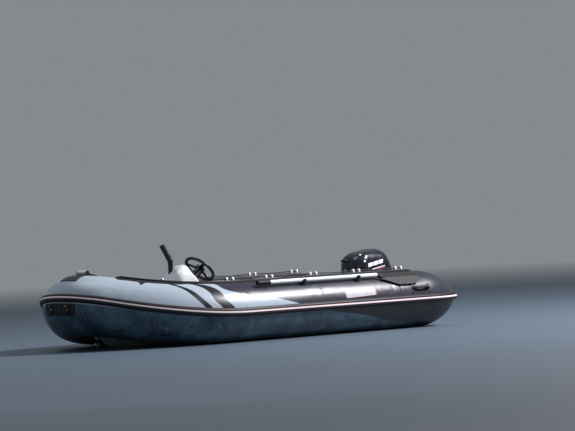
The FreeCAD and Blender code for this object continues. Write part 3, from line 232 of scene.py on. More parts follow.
def evaluated_mesh(piece):
    """A copy of the mesh as the piece's modifiers leave it."""
    return bpy.data.meshes.new_from_object(piece.evaluated_get(bpy.context.evaluated_depsgraph_get()))


# %% [markdown]
# ## The collar's line
# The tube follows a rule: a straight side, a wide turn that also climbs, and a tight turn over the
# nose. Written as a function of the distance from the transom, one rule gives every ring of the
# tube, and anything that lies on the tube can be placed by distance and angle alone.

# %% The path of the tube
side_low, side_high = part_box("tube_port")
TUBE_RADIUS = (side_high.z - side_low.z) / 2
TUBE_MIDDLE = Vector((0, (side_low.y + side_high.y) / 2, (side_low.z + side_high.z) / 2))
TURN_START = -side_low.x
STERN_TIP = side_high.x
CONE_LENGTH = 420 * MM
CONE_NOSE = 110 * MM
CONE_START = STERN_TIP - CONE_LENGTH
TURN_ANGLE = math.radians(48)
TURN_RADIUS = 1.000125
TURN_CLIMB = math.radians(12.5)
NOSE_RADIUS = 0.3000375
AHEAD = Vector((-1, 0, 0))
ACROSS = Vector((0, 1, 0))

turn_start = Vector((-TURN_START, TUBE_MIDDLE.y, TUBE_MIDDLE.z))
inward = Vector((0, math.cos(TURN_CLIMB), math.sin(TURN_CLIMB)))
turn_axis = AHEAD.cross(inward)
turn_centre = turn_start + inward * TURN_RADIUS


def spin(vector, axis, angle):
    """A vector turned about an axis."""
    return Matrix.Rotation(angle, 3, axis) @ vector


heading = spin(AHEAD, turn_axis, TURN_ANGLE)
turn_end = turn_centre + spin(turn_start - turn_centre, turn_axis, TURN_ANGLE)
nose_angle = heading.angle(ACROSS)
nose_axis = heading.cross(ACROSS).normalized()
run_length = (-turn_end.y - NOSE_RADIUS * math.sin(nose_angle)) / heading.y
nose_start = turn_end + heading * run_length
nose_centre = nose_start + nose_axis.cross(heading) * NOSE_RADIUS
TURN_LENGTH = TURN_RADIUS * TURN_ANGLE
RUN_END = TURN_START + TURN_LENGTH + run_length
PATH_LENGTH = RUN_END + NOSE_RADIUS * nose_angle


def station(distance):
    """The tube's middle, outboard and upward directions at a distance from the transom."""
    out, rise = Vector((0, -1, 0)), Vector((0, 0, 1))
    if distance <= TURN_START:
        return Vector((-distance, TUBE_MIDDLE.y, TUBE_MIDDLE.z)), out, rise
    angle = min(distance - TURN_START, TURN_LENGTH) / TURN_RADIUS
    out, rise = spin(out, turn_axis, angle), spin(rise, turn_axis, angle)
    middle = turn_centre + spin(turn_start - turn_centre, turn_axis, angle)
    beyond = distance - TURN_START - TURN_LENGTH
    if beyond <= 0:
        return middle, out, rise
    if beyond <= run_length:
        return middle + heading * beyond, out, rise
    angle = (beyond - run_length) / NOSE_RADIUS
    out, rise = spin(out, nose_axis, angle), spin(rise, nose_axis, angle)
    return nose_centre + spin(nose_start - nose_centre, nose_axis, angle), out, rise


def cone_radius(distance):
    """The tube's radius: full size ahead of the stern cone, two arcs within it."""
    along = -distance - CONE_START
    if along <= 0:
        return TUBE_RADIUS
    tip = CONE_LENGTH - CONE_NOSE
    flank = (tip ** 2 + TUBE_RADIUS ** 2 - CONE_NOSE ** 2) / (2 * (TUBE_RADIUS - CONE_NOSE))
    slope = math.atan2(flank - TUBE_RADIUS, tip)
    if along < flank * math.cos(slope):
        return TUBE_RADIUS - flank + math.sqrt(flank ** 2 - along ** 2)
    return math.sqrt(max(CONE_NOSE ** 2 - (along - tip) ** 2, 0))


def cone_place(length):
    """On the stern cone's side, by the length along its surface: the point of the axis that the
    surface's normal comes from, the normal, and the distance between them."""
    tip = CONE_LENGTH - CONE_NOSE
    flank = (tip ** 2 + TUBE_RADIUS ** 2 - CONE_NOSE ** 2) / (2 * (TUBE_RADIUS - CONE_NOSE))
    meet = math.pi / 2 - math.atan2(flank - TUBE_RADIUS, tip)
    lean = length / flank
    along, radius = flank * math.sin(lean), TUBE_RADIUS - flank + flank * math.cos(lean)
    if lean > meet:
        lean = meet + (length - flank * meet) / CONE_NOSE
        along, radius = tip + CONE_NOSE * math.sin(lean), CONE_NOSE * math.cos(lean)
    here = radius / math.cos(lean)
    middle = Vector((CONE_START + along - here * math.sin(lean), TUBE_MIDDLE.y, TUBE_MIDDLE.z))
    return middle, Vector((math.sin(lean), -math.cos(lean), 0)), here


def on_tube(distance, degrees, proud=0.0):
    """A point of the port tube's skin: 0 degrees is outboard, 90 is up."""
    middle, out, rise = station(distance)
    angle = math.radians(degrees)
    away = out * math.cos(angle) + rise * math.sin(angle)
    return middle + away * (cone_radius(distance) + proud)


print("tube path", round(PATH_LENGTH, 3), "m, radius", round(TUBE_RADIUS, 4))

# %% [markdown]
# ## The collar's skin
# Air pressure pulls the fabric into a perfect round, so the skin is a grid of rings. The chambers
# are glued from panels: at each join an overlap lies a millimetre proud, and the fabric puckers
# a little beside it. The grid carries its own measurements: U is the distance from the transom,
# V is the angle round the tube, and the painted pattern is later laid out on those.

# %% Collar chambers as ring meshes
RINGS = 128
JOIN_PLACES = [0.30, 1.12, 1.874, 2.72]
JOIN_HALF = 24 * MM
TAPE_RISE, TAPE_EDGE = 0.9 * MM, 4 * MM
PUCKER_REACH = 0.16
PUCKER_RISE = 0.45


def join_rise(distance):
    """How proud the skin lies: a tape over each panel join."""
    for place in JOIN_PLACES:
        off = abs(distance - place) - JOIN_HALF
        if off < 0:
            return TAPE_RISE
        if off < TAPE_EDGE:
            return TAPE_RISE * (1 - off / TAPE_EDGE)
    return 0.0


def pucker(distance, angle):
    """Small wrinkles that run away from the panel joins and from the stern cone's seam."""
    total = 0.0
    for place in JOIN_PLACES + [-CONE_START]:
        off = abs(distance - place)
        if JOIN_HALF < off < PUCKER_REACH:
            fade = math.sin(math.pi * (off - JOIN_HALF) / (PUCKER_REACH - JOIN_HALF)) ** 2
            wave = math.sin(17 * angle + 40 * place) + 0.6 * math.sin(29 * angle + 90 * place)
            total += fade * wave * PUCKER_RISE * MM
    return total


def distances(start, end, step):
    """Ring places between two distances, with extra rings at the tapes' edges."""
    count = max(2, round(abs(end - start) / step))
    places = [start + (end - start) * i / count for i in range(count + 1)]
    low, high = min(start, end), max(start, end)
    for place in JOIN_PLACES:
        for edge in (-JOIN_HALF - TAPE_EDGE, -JOIN_HALF, JOIN_HALF, JOIN_HALF + TAPE_EDGE):
            if low < place + edge < high:
                places.append(place + edge)
    return sorted(set(round(p, 5) for p in places))


def skin(name, places, side, close_stern=False):
    """A stretch of tube skin. side is 1 for port and -1 for starboard."""
    build = bmesh.new()
    layer = build.loops.layers.uv.new("skin")
    rings = []
    for distance in places:
        ring = []
        for k in range(RINGS):
            degrees = 360 * k / RINGS
            rise = join_rise(distance) + pucker(distance, math.radians(degrees))
            spot = on_tube(distance, degrees, rise)
            ring.append(build.verts.new((spot.x, spot.y * side, spot.z)))
        rings.append(ring)
    order = -1 if side > 0 else 1
    for i in range(len(rings) - 1):
        for k in range(RINGS):
            after = (k + 1) % RINGS
            corners = [rings[i][k], rings[i + 1][k], rings[i + 1][after], rings[i][after]]
            marks = [(places[i], k), (places[i + 1], k), (places[i + 1], k + 1), (places[i], k + 1)]
            marked_face(build, layer, corners[::order], marks[::order], RINGS)
    if close_stern:
        tip = build.verts.new((STERN_TIP, TUBE_MIDDLE.y * side, TUBE_MIDDLE.z))
        for k in range(RINGS):
            corners = [rings[0][k], tip, rings[0][(k + 1) % RINGS]]
            marks = [(places[0], k), (-STERN_TIP, k + 0.5), (places[0], k + 1)]
            marked_face(build, layer, corners[::-order], marks[::-order], RINGS)
    return finish_piece(name, build)


STERN_STEP, BOW_STEP = 14 * MM, 12 * MM
cone_places = [-STERN_TIP + 0.5 * MM * (1.35 ** i) for i in range(16)]
cone_places = [p for p in cone_places if p < -CONE_START - 0.05]
stern_places = cone_places + distances(cone_places[-1] + STERN_STEP, TURN_START, STERN_STEP)
bow_places = distances(TURN_START, PATH_LENGTH, BOW_STEP)
collar_port = skin("collar_skin_port", stern_places, 1, close_stern=True)
collar_starboard = skin("collar_skin_starboard", stern_places, -1, close_stern=True)
collar_bow_port = skin("collar_skin_bow_port", bow_places, 1)
collar_bow_starboard = skin("collar_skin_bow_starboard", bow_places, -1)
for piece in (collar_port, collar_starboard, collar_bow_port, collar_bow_starboard):
    print(piece.name, len(piece.data.polygons), "faces")

# %% [markdown]
# ## Coated fabric with a painted pattern
# The tubes are woven cloth under a rubber coating. The pattern's edges are curves: for each angle
# round the tube they give the distance at which one colour stops. Because both are written in the
# skin's own measurements, the pattern wraps the tube as paint does.

# %% The collar's fabric
PATTERN_SPAN = 3.2
PATTERN_SOFT = 2 * MM
# Edges of the pattern: degrees from the tube's side towards its top or its bottom, and metres from
# the transom.
DARK_EDGE = [(0, 1.27), (11.5, 1.38), (18, 1.48), (24.5, 1.58), (29, 1.70), (38, 1.85), (46, 1.96),
             (56, 2.02), (74, 2.04), (90, 2.05)]
FRONT_BAND = [(0, 2.14), (15, 2.18), (27, 2.22), (40, 2.26), (52, 2.30), (71, 2.40), (90, 2.52)]
AFT_BAND = [(0, 2.01), (14, 2.04), (27, 2.08), (44, 2.10), (61, 2.14), (85, 2.24), (90, 2.27)]
UNDER_EDGE = [(0, 1.16), (10, 1.0), (20, 0.73), (36, 0.44), (54, 0.11), (90, 0.0)]
FRONT_BAND_HALF, AFT_BAND_HALF = 24 * MM, 44 * MM
WEAVE_SCALE = 180.0


def pattern_edge(tree, share, points):
    """A distance from the transom that depends on the angle, as a curve over a quarter turn."""
    node = add(tree, "ShaderNodeFloatCurve", Value=share)
    curve = node.mapping.curves[0]
    spots = [(degrees / 90, distance / PATTERN_SPAN) for degrees, distance in points]
    curve.points[0].location = spots[0]
    curve.points[1].location = spots[-1]
    for spot in spots[1:-1]:
        curve.points.new(*spot)
    node.mapping.update()
    return times(tree, node.outputs["Value"], PATTERN_SPAN)


def within(tree, value, middle, half, soft=3 * MM):
    """1 where a value lies within a half width of the middle, with a soft edge."""
    off = maths(tree, "ABSOLUTE", minus(tree, value, middle))
    return ramp(tree, off, half + soft / 2, half - soft / 2)


def fabric_material():
    """The tube's coated cloth: painted pattern, painted shade on the lower half, wear, a tide mark, its weave
    and a few creases.
    """
    material, tree, shader = new_material("coated_tube_fabric", roughness=0.4, colour="#b3bfc6", ior=1.5)
    marks = skin_marks(tree)
    split = add(tree, "ShaderNodeSeparateXYZ", Vector=marks)
    distance, around = split.outputs["X"], split.outputs["Y"]
    where = add(tree, "ShaderNodeTexCoord").outputs["Object"]
    above = add(tree, "ShaderNodeClamp", Value=times(tree, around, 4.0)).outputs[0]
    below = times(tree, minus(tree, 1.0, around), 4.0)
    below = add(tree, "ShaderNodeClamp", Value=below).outputs[0]
    lower = ramp(tree, around, 0.5, 0.501)

    past_edge = minus(tree, distance, pattern_edge(tree, above, DARK_EDGE))
    dark_above = ramp(tree, past_edge, PATTERN_SOFT, -PATTERN_SOFT)
    front_band = within(tree, distance, pattern_edge(tree, above, FRONT_BAND), FRONT_BAND_HALF)
    aft_band = within(tree, distance, pattern_edge(tree, above, AFT_BAND), AFT_BAND_HALF)
    bands = most(tree, front_band, aft_band)
    past_edge = minus(tree, distance, pattern_edge(tree, below, UNDER_EDGE))
    dark_below = ramp(tree, past_edge, PATTERN_SOFT, -PATTERN_SOFT)

    weather = noise(tree, where, 3.0, 5.0, 0.6)
    upper = blend_colours(tree, weather, "#9aa8b3", "#aebac3")
    upper = blend_colours(tree, dark_above, upper, blend_colours(tree, weather, "#1f202b", "#2b2c38"))
    upper = blend_colours(tree, bands, upper, "#0e0f16")
    # Below the side, the cloth is painted far darker than its own light grey, and its charcoal part
    # near-black: painted shade on the underside, which faces away from the light.
    mottle = ramp(tree, noise(tree, where, 6.0, 6.0, 0.65), 0.35, 0.7)
    painted_shade_under = blend_colours(tree, mottle, "#1e3242", "#527080")
    painted_shade_under = blend_colours(tree, dark_below, painted_shade_under, "#0a111b")
    colour = blend_colours(tree, lower, upper, painted_shade_under)

    scrape_where = add(tree, "ShaderNodeMapping", Vector=where, Scale=(5.0, 60.0, 14.0)).outputs[0]
    scrape = ramp(tree, noise(tree, scrape_where, 2.4, 6.0, 0.8), 0.56, 0.68)
    patches = ramp(tree, noise(tree, where, 1.9, 2.0), 0.42, 0.56)
    low_only = times(tree, lower, patches)
    scrape = times(tree, scrape, minus(tree, low_only, times(tree, dark_below, 0.8)))
    scrape = most(tree, scrape, 0.0)
    colour = blend_colours(tree, times(tree, scrape, 0.75), colour, "#a9bcc2")
    height = add(tree, "ShaderNodeSeparateXYZ", Vector=where).outputs["Z"]
    tide = times(tree, ramp(tree, height, 0.06, 0.0), ramp(tree, noise(tree, where, 9.0, 6.0), 0.35, 0.6))
    colour = blend_colours(tree, times(tree, tide, 0.7), colour, "#2d3a2c")
    feed(shader, "Base Color", colour)

    rough = ramp(tree, weather, 0.3, 0.7, 0.27, 0.38)
    feed(shader, "Roughness", plus(tree, rough, times(tree, scrape, 0.3)))
    weave_where = add(tree, "ShaderNodeMapping", Vector=marks, Scale=(1.0, 1.414, 1.0)).outputs[0]
    warp, weft = waves(tree, weave_where, "X", WEAVE_SCALE), waves(tree, weave_where, "Y", WEAVE_SCALE)
    orange_peel = noise(tree, where, 240.0, 2.0)
    relief = plus(tree, times(tree, warp, weft), orange_peel)
    crease_where = add(tree, "ShaderNodeMapping", Vector=marks, Rotation=(0, 0, math.radians(20)),
                       Scale=(16.0, 3.0, 1.0)).outputs[0]
    crease = ramp(tree, noise(tree, crease_where, 1.0, 3.0, 0.6), 0.45, 0.62)
    near_stern = times(tree, ramp(tree, distance, 0.12, 0.28), ramp(tree, distance, 0.62, 0.42))
    high_side = times(tree, ramp(tree, above, 0.04, 0.2), ramp(tree, above, 0.75, 0.5))
    crease = times(tree, crease, times(tree, near_stern, high_side))
    relief = plus(tree, relief, times(tree, crease, 9.0))
    bump(tree, shader, relief, 0.10, 0.4 * MM)
    return material


fabric = fabric_material()
for piece in (collar_port, collar_starboard, collar_bow_port, collar_bow_starboard):
    piece.data.materials.append(fabric)
    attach(piece, "boat")
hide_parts("tube_port")
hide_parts("tube_starboard")
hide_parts("tube_bow")

# %% [markdown]
# ## Where the camera stands
# These numbers are the camera fitted to the photograph. They stand this early because small pieces
# are placed by picture points: a ray through such a point finds the place on the part.

# %% Camera numbers and picture rays
VIEW_AZIMUTH = math.radians(-41.5)
VIEW_ELEVATION = math.radians(1.49)
VIEW_ROLL = math.radians(-2.93)
VIEW_DISTANCE = 24.4
VIEW_TARGET = Vector((-1.25, 0, 0.25))
TARGET_PIXEL = (236.2, 305.8)
FOCAL_PIXELS = 3123.0
PICTURE_WIDTH, PICTURE_HEIGHT = 575, 431
SENSOR_WIDTH = 36.0

flat_share = math.cos(VIEW_ELEVATION)
back = Vector((math.sin(VIEW_AZIMUTH) * flat_share, -math.cos(VIEW_AZIMUTH) * flat_share,
               math.sin(VIEW_ELEVATION)))
right = (-back).cross(Vector((0, 0, 1))).normalized()
rise = back.cross(right)
rolled_right = right * math.cos(VIEW_ROLL) + rise * math.sin(VIEW_ROLL)
rolled_up = rise * math.cos(VIEW_ROLL) - right * math.sin(VIEW_ROLL)
camera_spot = VIEW_TARGET + back * VIEW_DISTANCE


def picture_ray(column, line):
    """The ray from the camera through a point of the photograph."""
    across = (column - TARGET_PIXEL[0]) / FOCAL_PIXELS
    down = (line - TARGET_PIXEL[1]) / FOCAL_PIXELS
    return camera_spot, (-back + rolled_right * across - rolled_up * down).normalized()

# %% [markdown]
# ## Trims that follow the collar
# The rub strake, its stripe, the wear strips and the ropes all follow the tube's line. Each is a
# section swept from ring to ring. The section is a loop of points, each with a radius from the
# tube's middle and an angle round it, so a groove or a rib is only a few more points.

# %% Sections swept along the tube
def mirrored_rings(rings):
    """The same rings on the other side of the boat, from the bow back to the stern."""
    flip = np.array([1.0, -1.0, 1.0])
    return [ring * flip for ring in reversed(rings)]


def swept(name, rings, marks, closed=True, across=None):
    """A mesh through rings of points. marks give U along it, across gives V round it."""
    count = len(rings[0])
    points = np.concatenate(rings)
    build = bpy.data.meshes.new(name)
    faces, uvs = [], []
    steps = count if closed else count - 1
    shares = across or [k / count for k in range(count + 1)]
    for i in range(len(rings) - 1):
        for k in range(steps):
            after = (k + 1) % count
            faces.append((i * count + k, (i + 1) * count + k, (i + 1) * count + after, i * count + after))
            uvs += [(marks[i], shares[k]), (marks[i + 1], shares[k]),
                    (marks[i + 1], shares[k + 1]), (marks[i], shares[k + 1])]
    if closed:
        for i, order in ((0, 1), (len(rings) - 1, -1)):
            faces.append(tuple(i * count + k for k in range(count))[::order])
            uvs += [(marks[i], shares[k]) for k in range(count)][::order]
    build.from_pydata([tuple(p) for p in points], [], faces)
    layer = build.uv_layers.new(name="skin")
    layer.data.foreach_set("uv", np.array(uvs).ravel())
    for face in build.polygons:
        face.use_smooth = len(face.vertices) == 4
    fix = bmesh.new()
    fix.from_mesh(build)
    return finish_piece(name, fix, SHARP_BEND, build)


def fan(radius_angles, distance, roll=0.0):
    """A ring of points at a distance along the tube."""
    middle, out, rise = station(distance)
    here = TUBE_RADIUS
    if distance < -CONE_START:
        middle, out, here = cone_place(-distance - CONE_START)
    ring = []
    for radius, degrees in radius_angles:
        radius += here - TUBE_RADIUS
        angle = math.radians((degrees + roll) * TUBE_RADIUS / here)
        ring.append(tuple(middle + out * (radius * math.cos(angle)) + rise * (radius * math.sin(angle))))
    return np.array(ring)


def arc_degrees(width, radius):
    """The angle that a width spans at a radius."""
    return math.degrees(width / radius)


def fit_out(piece, material, slot, body="boat", *nodes):
    """Give a finished piece its material and its body, and hide what it stands for. slot, the finish's name,
    is not used.
    """
    piece.data.materials.append(material)
    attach(piece, body)
    if nodes:
        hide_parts(*nodes)
    return piece


# %% [markdown]
# ## The rub strake
# A fender strip is extruded in one length: a rounded back with fine grooves, two thin lips where
# it is glued down, and a slot that holds a vinyl stripe. It climbs a little round the bow.

# %% The rub strake and its stripe
GLUE = 0.3 * MM
STRAKE_BASE = TUBE_RADIUS + GLUE
STRAKE_HEIGHT, STRAKE_DEPTH, STRAKE_LIP = 64 * MM, 24 * MM, 3 * MM
STRAKE_OUTER = STRAKE_BASE + STRAKE_DEPTH
STRIPE_HEIGHT, STRIPE_DEPTH, STRIPE_PROUD = 17 * MM, 5 * MM, 1.5 * MM
STRAKE_ROLL, STRAKE_BOW_ROLL = 2.0, 10.5
STRAKE_CROWN = 0.55
STRAKE_START = -CONE_START - 425 * MM
GROOVE_DEPTH = 1.4 * MM
CONE_STEP, STRAIGHT_STEP, CURVE_STEP = 18 * MM, 60 * MM, 16 * MM


def strake_roll(distance):
    """The strake's angle above the tube's side, more round the bow."""
    share = min(max((distance - TURN_START) / (PATH_LENGTH - TURN_START), 0), 1)
    return STRAKE_ROLL + (STRAKE_BOW_ROLL - STRAKE_ROLL) * share * share * (3 - 2 * share)


def strake_section():
    """The strake's loop from the lower lip to the upper one, with a groove on each flank."""
    half = arc_degrees(STRAKE_HEIGHT / 2, STRAKE_BASE)
    crown = half * STRAKE_CROWN
    slot = arc_degrees(STRIPE_HEIGHT / 2, STRAKE_OUTER)
    lip = STRAKE_BASE + STRAKE_LIP
    flank = [(STRAKE_BASE, half), (lip - 0.8 * MM, half), (lip, half * 0.98)]
    for share in (0.0, 0.28, 0.34, 0.40, 0.46, 0.74):
        depth = GROOVE_DEPTH if share in (0.34, 0.40) else 0.0
        angle = half * 0.93 + (crown - half * 0.93) * share
        radius = lip + (STRAKE_OUTER - lip) * math.sin(math.pi / 2 * (0.12 + 0.88 * share))
        flank.append((radius - depth, angle))
    flank += [(STRAKE_OUTER - 0.4 * MM, crown), (STRAKE_OUTER, crown * 0.93),
              (STRAKE_OUTER, slot * 1.06), (STRAKE_OUTER - 0.8 * MM, slot),
              (STRAKE_OUTER - STRIPE_DEPTH, slot)]
    lower = [(radius, -angle) for radius, angle in flank]
    inside = [(STRAKE_BASE, half * share) for share in (0.5, 0.0, -0.5)]
    return lower + flank[::-1] + inside


def trim_places(start, end):
    """Ring places for a trim: wider apart on the straight side than round the bow."""
    places = distances(start, -CONE_START, CONE_STEP)
    places += distances(-CONE_START, TURN_START, STRAIGHT_STEP)[1:]
    return places + distances(TURN_START, end, CURVE_STEP)[1:]


trim_marks = trim_places(STRAKE_START, PATH_LENGTH)
section = strake_section()
port_rings = [fan(section, place, strake_roll(place)) for place in trim_marks]
strake = swept("rub_strake_rubber", port_rings + mirrored_rings(port_rings)[1:],
               trim_marks + [2 * PATH_LENGTH - place for place in trim_marks[::-1]][1:])


def stripe_section():
    """The stripe's crowned face and its flat back."""
    half = arc_degrees(STRIPE_HEIGHT / 2, STRAKE_OUTER)
    steps = [k / 7 for k in range(-7, 8)]
    face = [(STRAKE_OUTER + STRIPE_PROUD * (1 - share * share), half * share) for share in steps]
    return face + [(STRAKE_OUTER - STRIPE_DEPTH * 0.9, half), (STRAKE_OUTER - STRIPE_DEPTH * 0.9, -half)]


section = stripe_section()
across = [k / 14 for k in range(15)] + [1.0, 0.0, 0.0]
port_rings = [fan(section, place, strake_roll(place)) for place in trim_marks]
stripe = swept("strake_stripe_vinyl", port_rings + mirrored_rings(port_rings)[1:],
               trim_marks + [2 * PATH_LENGTH - place for place in trim_marks[::-1]][1:], across=across)

# %% [markdown]
# ## Wear strips
# Ribbed rubber along the top of each tube takes the knocks of boarding. At the bow the strip ends
# in a thin triangular flap that points outboard.

# %% The wear strips
STRIP_ANGLE, STRIP_WIDTH, STRIP_THICKNESS = 96.0, 90 * MM, 18 * MM
STRIP_START, STRIP_END = -40 * MM, TURN_START + TURN_LENGTH + 108 * MM
STRIP_STEP, STRIP_TAPER = 4 * MM, 40 * MM
RIBS = 7


def strip_section(share=1.0):
    """The strip's loop: sloping sides and a ribbed top. share thins it towards its end."""
    half = arc_degrees(STRIP_WIDTH / 2, STRAKE_BASE)
    top = STRAKE_BASE + STRIP_THICKNESS * share
    loop = [(STRAKE_BASE, -half), (STRAKE_BASE + 4 * MM * share, -half), (top - 3 * MM * share, -half * 0.93)]
    for k in range(RIBS):
        low = -0.88 + 1.76 * k / RIBS
        step = 1.76 / RIBS
        for place, depth in ((0.08, 2.4), (0.24, 0.0), (0.70, 0.0), (0.86, 2.4)):
            loop.append((top - depth * MM * share, half * (low + step * place)))
    loop += [(top - 3 * MM * share, half * 0.93), (STRAKE_BASE + 4 * MM * share, half), (STRAKE_BASE, half)]
    return loop + [(STRAKE_BASE, half * part) for part in (0.5, 0.0, -0.5)]


def end_share(distance):
    """How full the strip is near its two ends, from a thin edge to its whole thickness."""
    near = min(distance - STRIP_START, STRIP_END - distance) / STRIP_TAPER
    return 0.18 + 0.82 * min(max(near, 0), 1) ** 0.5


strip_marks = [STRIP_START + STRIP_STEP * k for k in range(10)]
strip_marks += distances(0.0, TURN_START, STRAIGHT_STEP)[1:]
strip_marks += distances(TURN_START, STRIP_END - STRIP_TAPER, CURVE_STEP)[1:]
strip_marks += [STRIP_END - STRIP_TAPER + STRIP_STEP * k for k in range(1, 11)]
mirror = np.array([1.0, -1.0, 1.0])
strips = []
for side, flip in (("port", 1), ("starboard", mirror)):
    rings = [fan(strip_section(end_share(place)), place, STRIP_ANGLE) * flip for place in strip_marks]
    strips.append(swept("wear_strip_rubber_" + side, rings, strip_marks))


def patch(name, places, low, high, thickness, columns=8, side=1):
    """A thin sheet glued on the tube. low and high give its edges in degrees at each place."""
    build = bmesh.new()
    layer = build.loops.layers.uv.new("skin")
    grid = []
    for place in places:
        row = []
        middle, out, rise = station(place)
        low_here, high_here = low(place), high(place)
        for k in range(columns + 3):
            share = min(max((k - 1) / columns, 0), 1)
            proud = -0.6 * MM if k in (0, columns + 2) else thickness
            angle = math.radians(low_here + (high_here - low_here) * share)
            away = out * math.cos(angle) + rise * math.sin(angle)
            spot = middle + away * (cone_radius(place) + proud)
            row.append(build.verts.new((spot.x, spot.y * side, spot.z)))
        grid.append(row)
    for row, place in ((0, places[0]), (-1, places[-1])):
        middle, out, rise = station(place)
        edge = []
        for vert in grid[row]:
            spot = Vector((vert.co.x, vert.co.y * side, vert.co.z))
            inner = middle + (spot - middle).normalized() * (cone_radius(place) - 0.6 * MM)
            edge.append(build.verts.new((inner.x, inner.y * side, inner.z)))
        grid.insert(0 if row == 0 else len(grid), edge)
    marks = [places[0]] + list(places) + [places[-1]]
    for i in range(len(grid) - 1):
        for k in range(columns + 2):
            corners = (grid[i][k], grid[i + 1][k], grid[i + 1][k + 1], grid[i][k + 1])
            spots = ((marks[i], k), (marks[i + 1], k), (marks[i + 1], k + 1), (marks[i], k + 1))
            marked_face(build, layer, corners, spots, columns + 2)
    bmesh.ops.remove_doubles(build, verts=build.verts, dist=0.02 * MM)
    bmesh.ops.dissolve_degenerate(build, edges=build.edges, dist=0.01 * MM)
    return finish_piece(name, build, SHARP_BEND)


def both_sides(make, name):
    """A piece on the port side and its mirror to starboard."""
    return [make(name + "_port", 1), make(name + "_starboard", -1)]


FLAP_EDGE = [(2.22, 84.5), (2.34, 72.0), (2.585, 70.0), (2.615, 57.0), (2.645, 70.5), (2.79, 70.5),
             (2.818, 80.0)]


def flap_low(distance):
    """The flap's lower edge: straight, with one triangular point."""
    return float(np.interp(distance, [p[0] for p in FLAP_EDGE], [p[1] for p in FLAP_EDGE]))


flap_places = sorted(set([round(2.222 + 0.012 * k, 4) for k in range(50)] + [p[0] for p in FLAP_EDGE]))
flap_places = [p for p in flap_places if p <= 2.818]
flaps = both_sides(lambda name, side: patch(name, flap_places, flap_low, lambda s: 88.0, 3 * MM, 6, side),
                   "wear_strip_flap")

# %% [markdown]
# ## Laid rope
# A three-strand rope is a round bar whose surface has three lobes, and the lobes turn as it goes
# along. It sags a few millimetres between its eyelets and ends in a stopper knot.

# %% The lifelines
ROPE_RADIUS = 4.5 * MM
ROPE_LAY = 34 * MM
ROPE_SAG, ROPE_STEP, ROPE_SIDES = 5 * MM, 4 * MM, 18
KNOT_HALF = 9 * MM
ROPE_AWAY = STRAKE_BASE + STRIP_THICKNESS + 13 * MM
ROPE_START, ROPE_END = 8 * MM, TURN_START + 14 * MM
EYELETS = [place + shift for place in (0.040, 0.500, 0.960, 1.420, 1.820) for shift in (-7 * MM, 55 * MM)]
KNOTS = [20 * MM, TURN_START + 8 * MM]


def rope_ring(distance, side):
    """One ring of the rope, with its lobes turned by the lay."""
    before = max([place for place in EYELETS if place <= distance], default=distance)
    after = min([place for place in EYELETS if place > distance], default=distance)
    span = after - before
    sag = ROPE_SAG * math.sin(math.pi * (distance - before) / span) ** 2 if span > 0.2 else 0.0
    angle = math.radians(STRIP_ANGLE)
    away = Vector((0, -math.cos(angle), math.sin(angle)))
    middle = Vector((-distance, TUBE_MIDDLE.y, TUBE_MIDDLE.z)) + away * (ROPE_AWAY - sag)
    swell = max(0.0, 1 - min(abs(distance - knot) for knot in KNOTS) / KNOT_HALF) ** 0.5
    ring = []
    for k in range(ROPE_SIDES):
        turn = 2 * math.pi * k / ROPE_SIDES
        lobe = abs(math.cos(1.5 * (turn + 2 * math.pi * distance / ROPE_LAY)))
        radius = ROPE_RADIUS * (0.86 + 0.14 * lobe) * (1 + 0.9 * swell)
        spot = middle + Vector((0, math.cos(turn), math.sin(turn))) * radius
        ring.append((spot.x, spot.y * side, spot.z))
    return np.array(ring)


rope_count = int((ROPE_END - ROPE_START) / ROPE_STEP)
rope_marks = [ROPE_START + (ROPE_END - ROPE_START) * i / rope_count for i in range(rope_count + 1)]
ropes = [swept("lifeline_rope_" + name, [rope_ring(mark, side) for mark in rope_marks], rope_marks)
         for name, side in (("port", 1), ("starboard", -1))]
for piece in [strake, stripe] + strips + flaps + ropes:
    print(piece.name, len(piece.data.polygons), "faces")

# %% [markdown]
# ## Rubber, vinyl and moulded plastic
# Black trim is never plain black. Rubber greys where it chalks in the sun and where it is scuffed,
# and its surface is matt with a fine grain. Moulded plastic is smoother and keeps a soft sheen.

# %% Rubber and plastic
def edge_wear(tree, radius=2.5 * MM):
    """About 0 on flat surfaces and about 1 on sharp edges."""
    round_normal = add(tree, "ShaderNodeBevel", {"samples": 4}, Radius=radius).outputs["Normal"]
    true_normal = add(tree, "ShaderNodeNewGeometry").outputs["Normal"]
    aligned = vector_step(tree, "DOT_PRODUCT", round_normal, _1=true_normal)
    return ramp(tree, aligned.outputs["Value"], 0.985, 0.90)


def rubber_material(name, dark, chalk, roughness=0.62, ribs=0.0, grain=900.0):
    """Matt rubber: chalky patches, scuffs along its length and a fine grain."""
    material, tree, shader = new_material(name, roughness=roughness, colour=dark, ior=1.48)
    where = spot_on_object(tree)
    cloud = noise(tree, where, 7.0, 6.0, 0.65)
    scuff = ramp(tree, noise(tree, stretched(tree, where, (9.0, 70.0, 70.0)), 2.0, 5.0, 0.7), 0.60, 0.72)
    chalky = times(tree, ramp(tree, cloud, 0.42, 0.72), 0.45)
    share = add(tree, "ShaderNodeClamp", Value=plus(tree, chalky, times(tree, scuff, 0.4)))
    feed(shader, "Base Color", blend_colours(tree, share.outputs[0], dark, chalk))
    feed(shader, "Roughness", ramp(tree, cloud, 0.3, 0.7, roughness - 0.08, roughness + 0.12))
    relief = noise(tree, where, grain, 2.0)
    if ribs:
        marks = skin_marks(tree)
        fine = waves(tree, marks, "Y", ribs)
        relief = plus(tree, relief, times(tree, fine, 1.6))
    bump(tree, shader, relief, 0.22, 0.5 * MM)
    return material


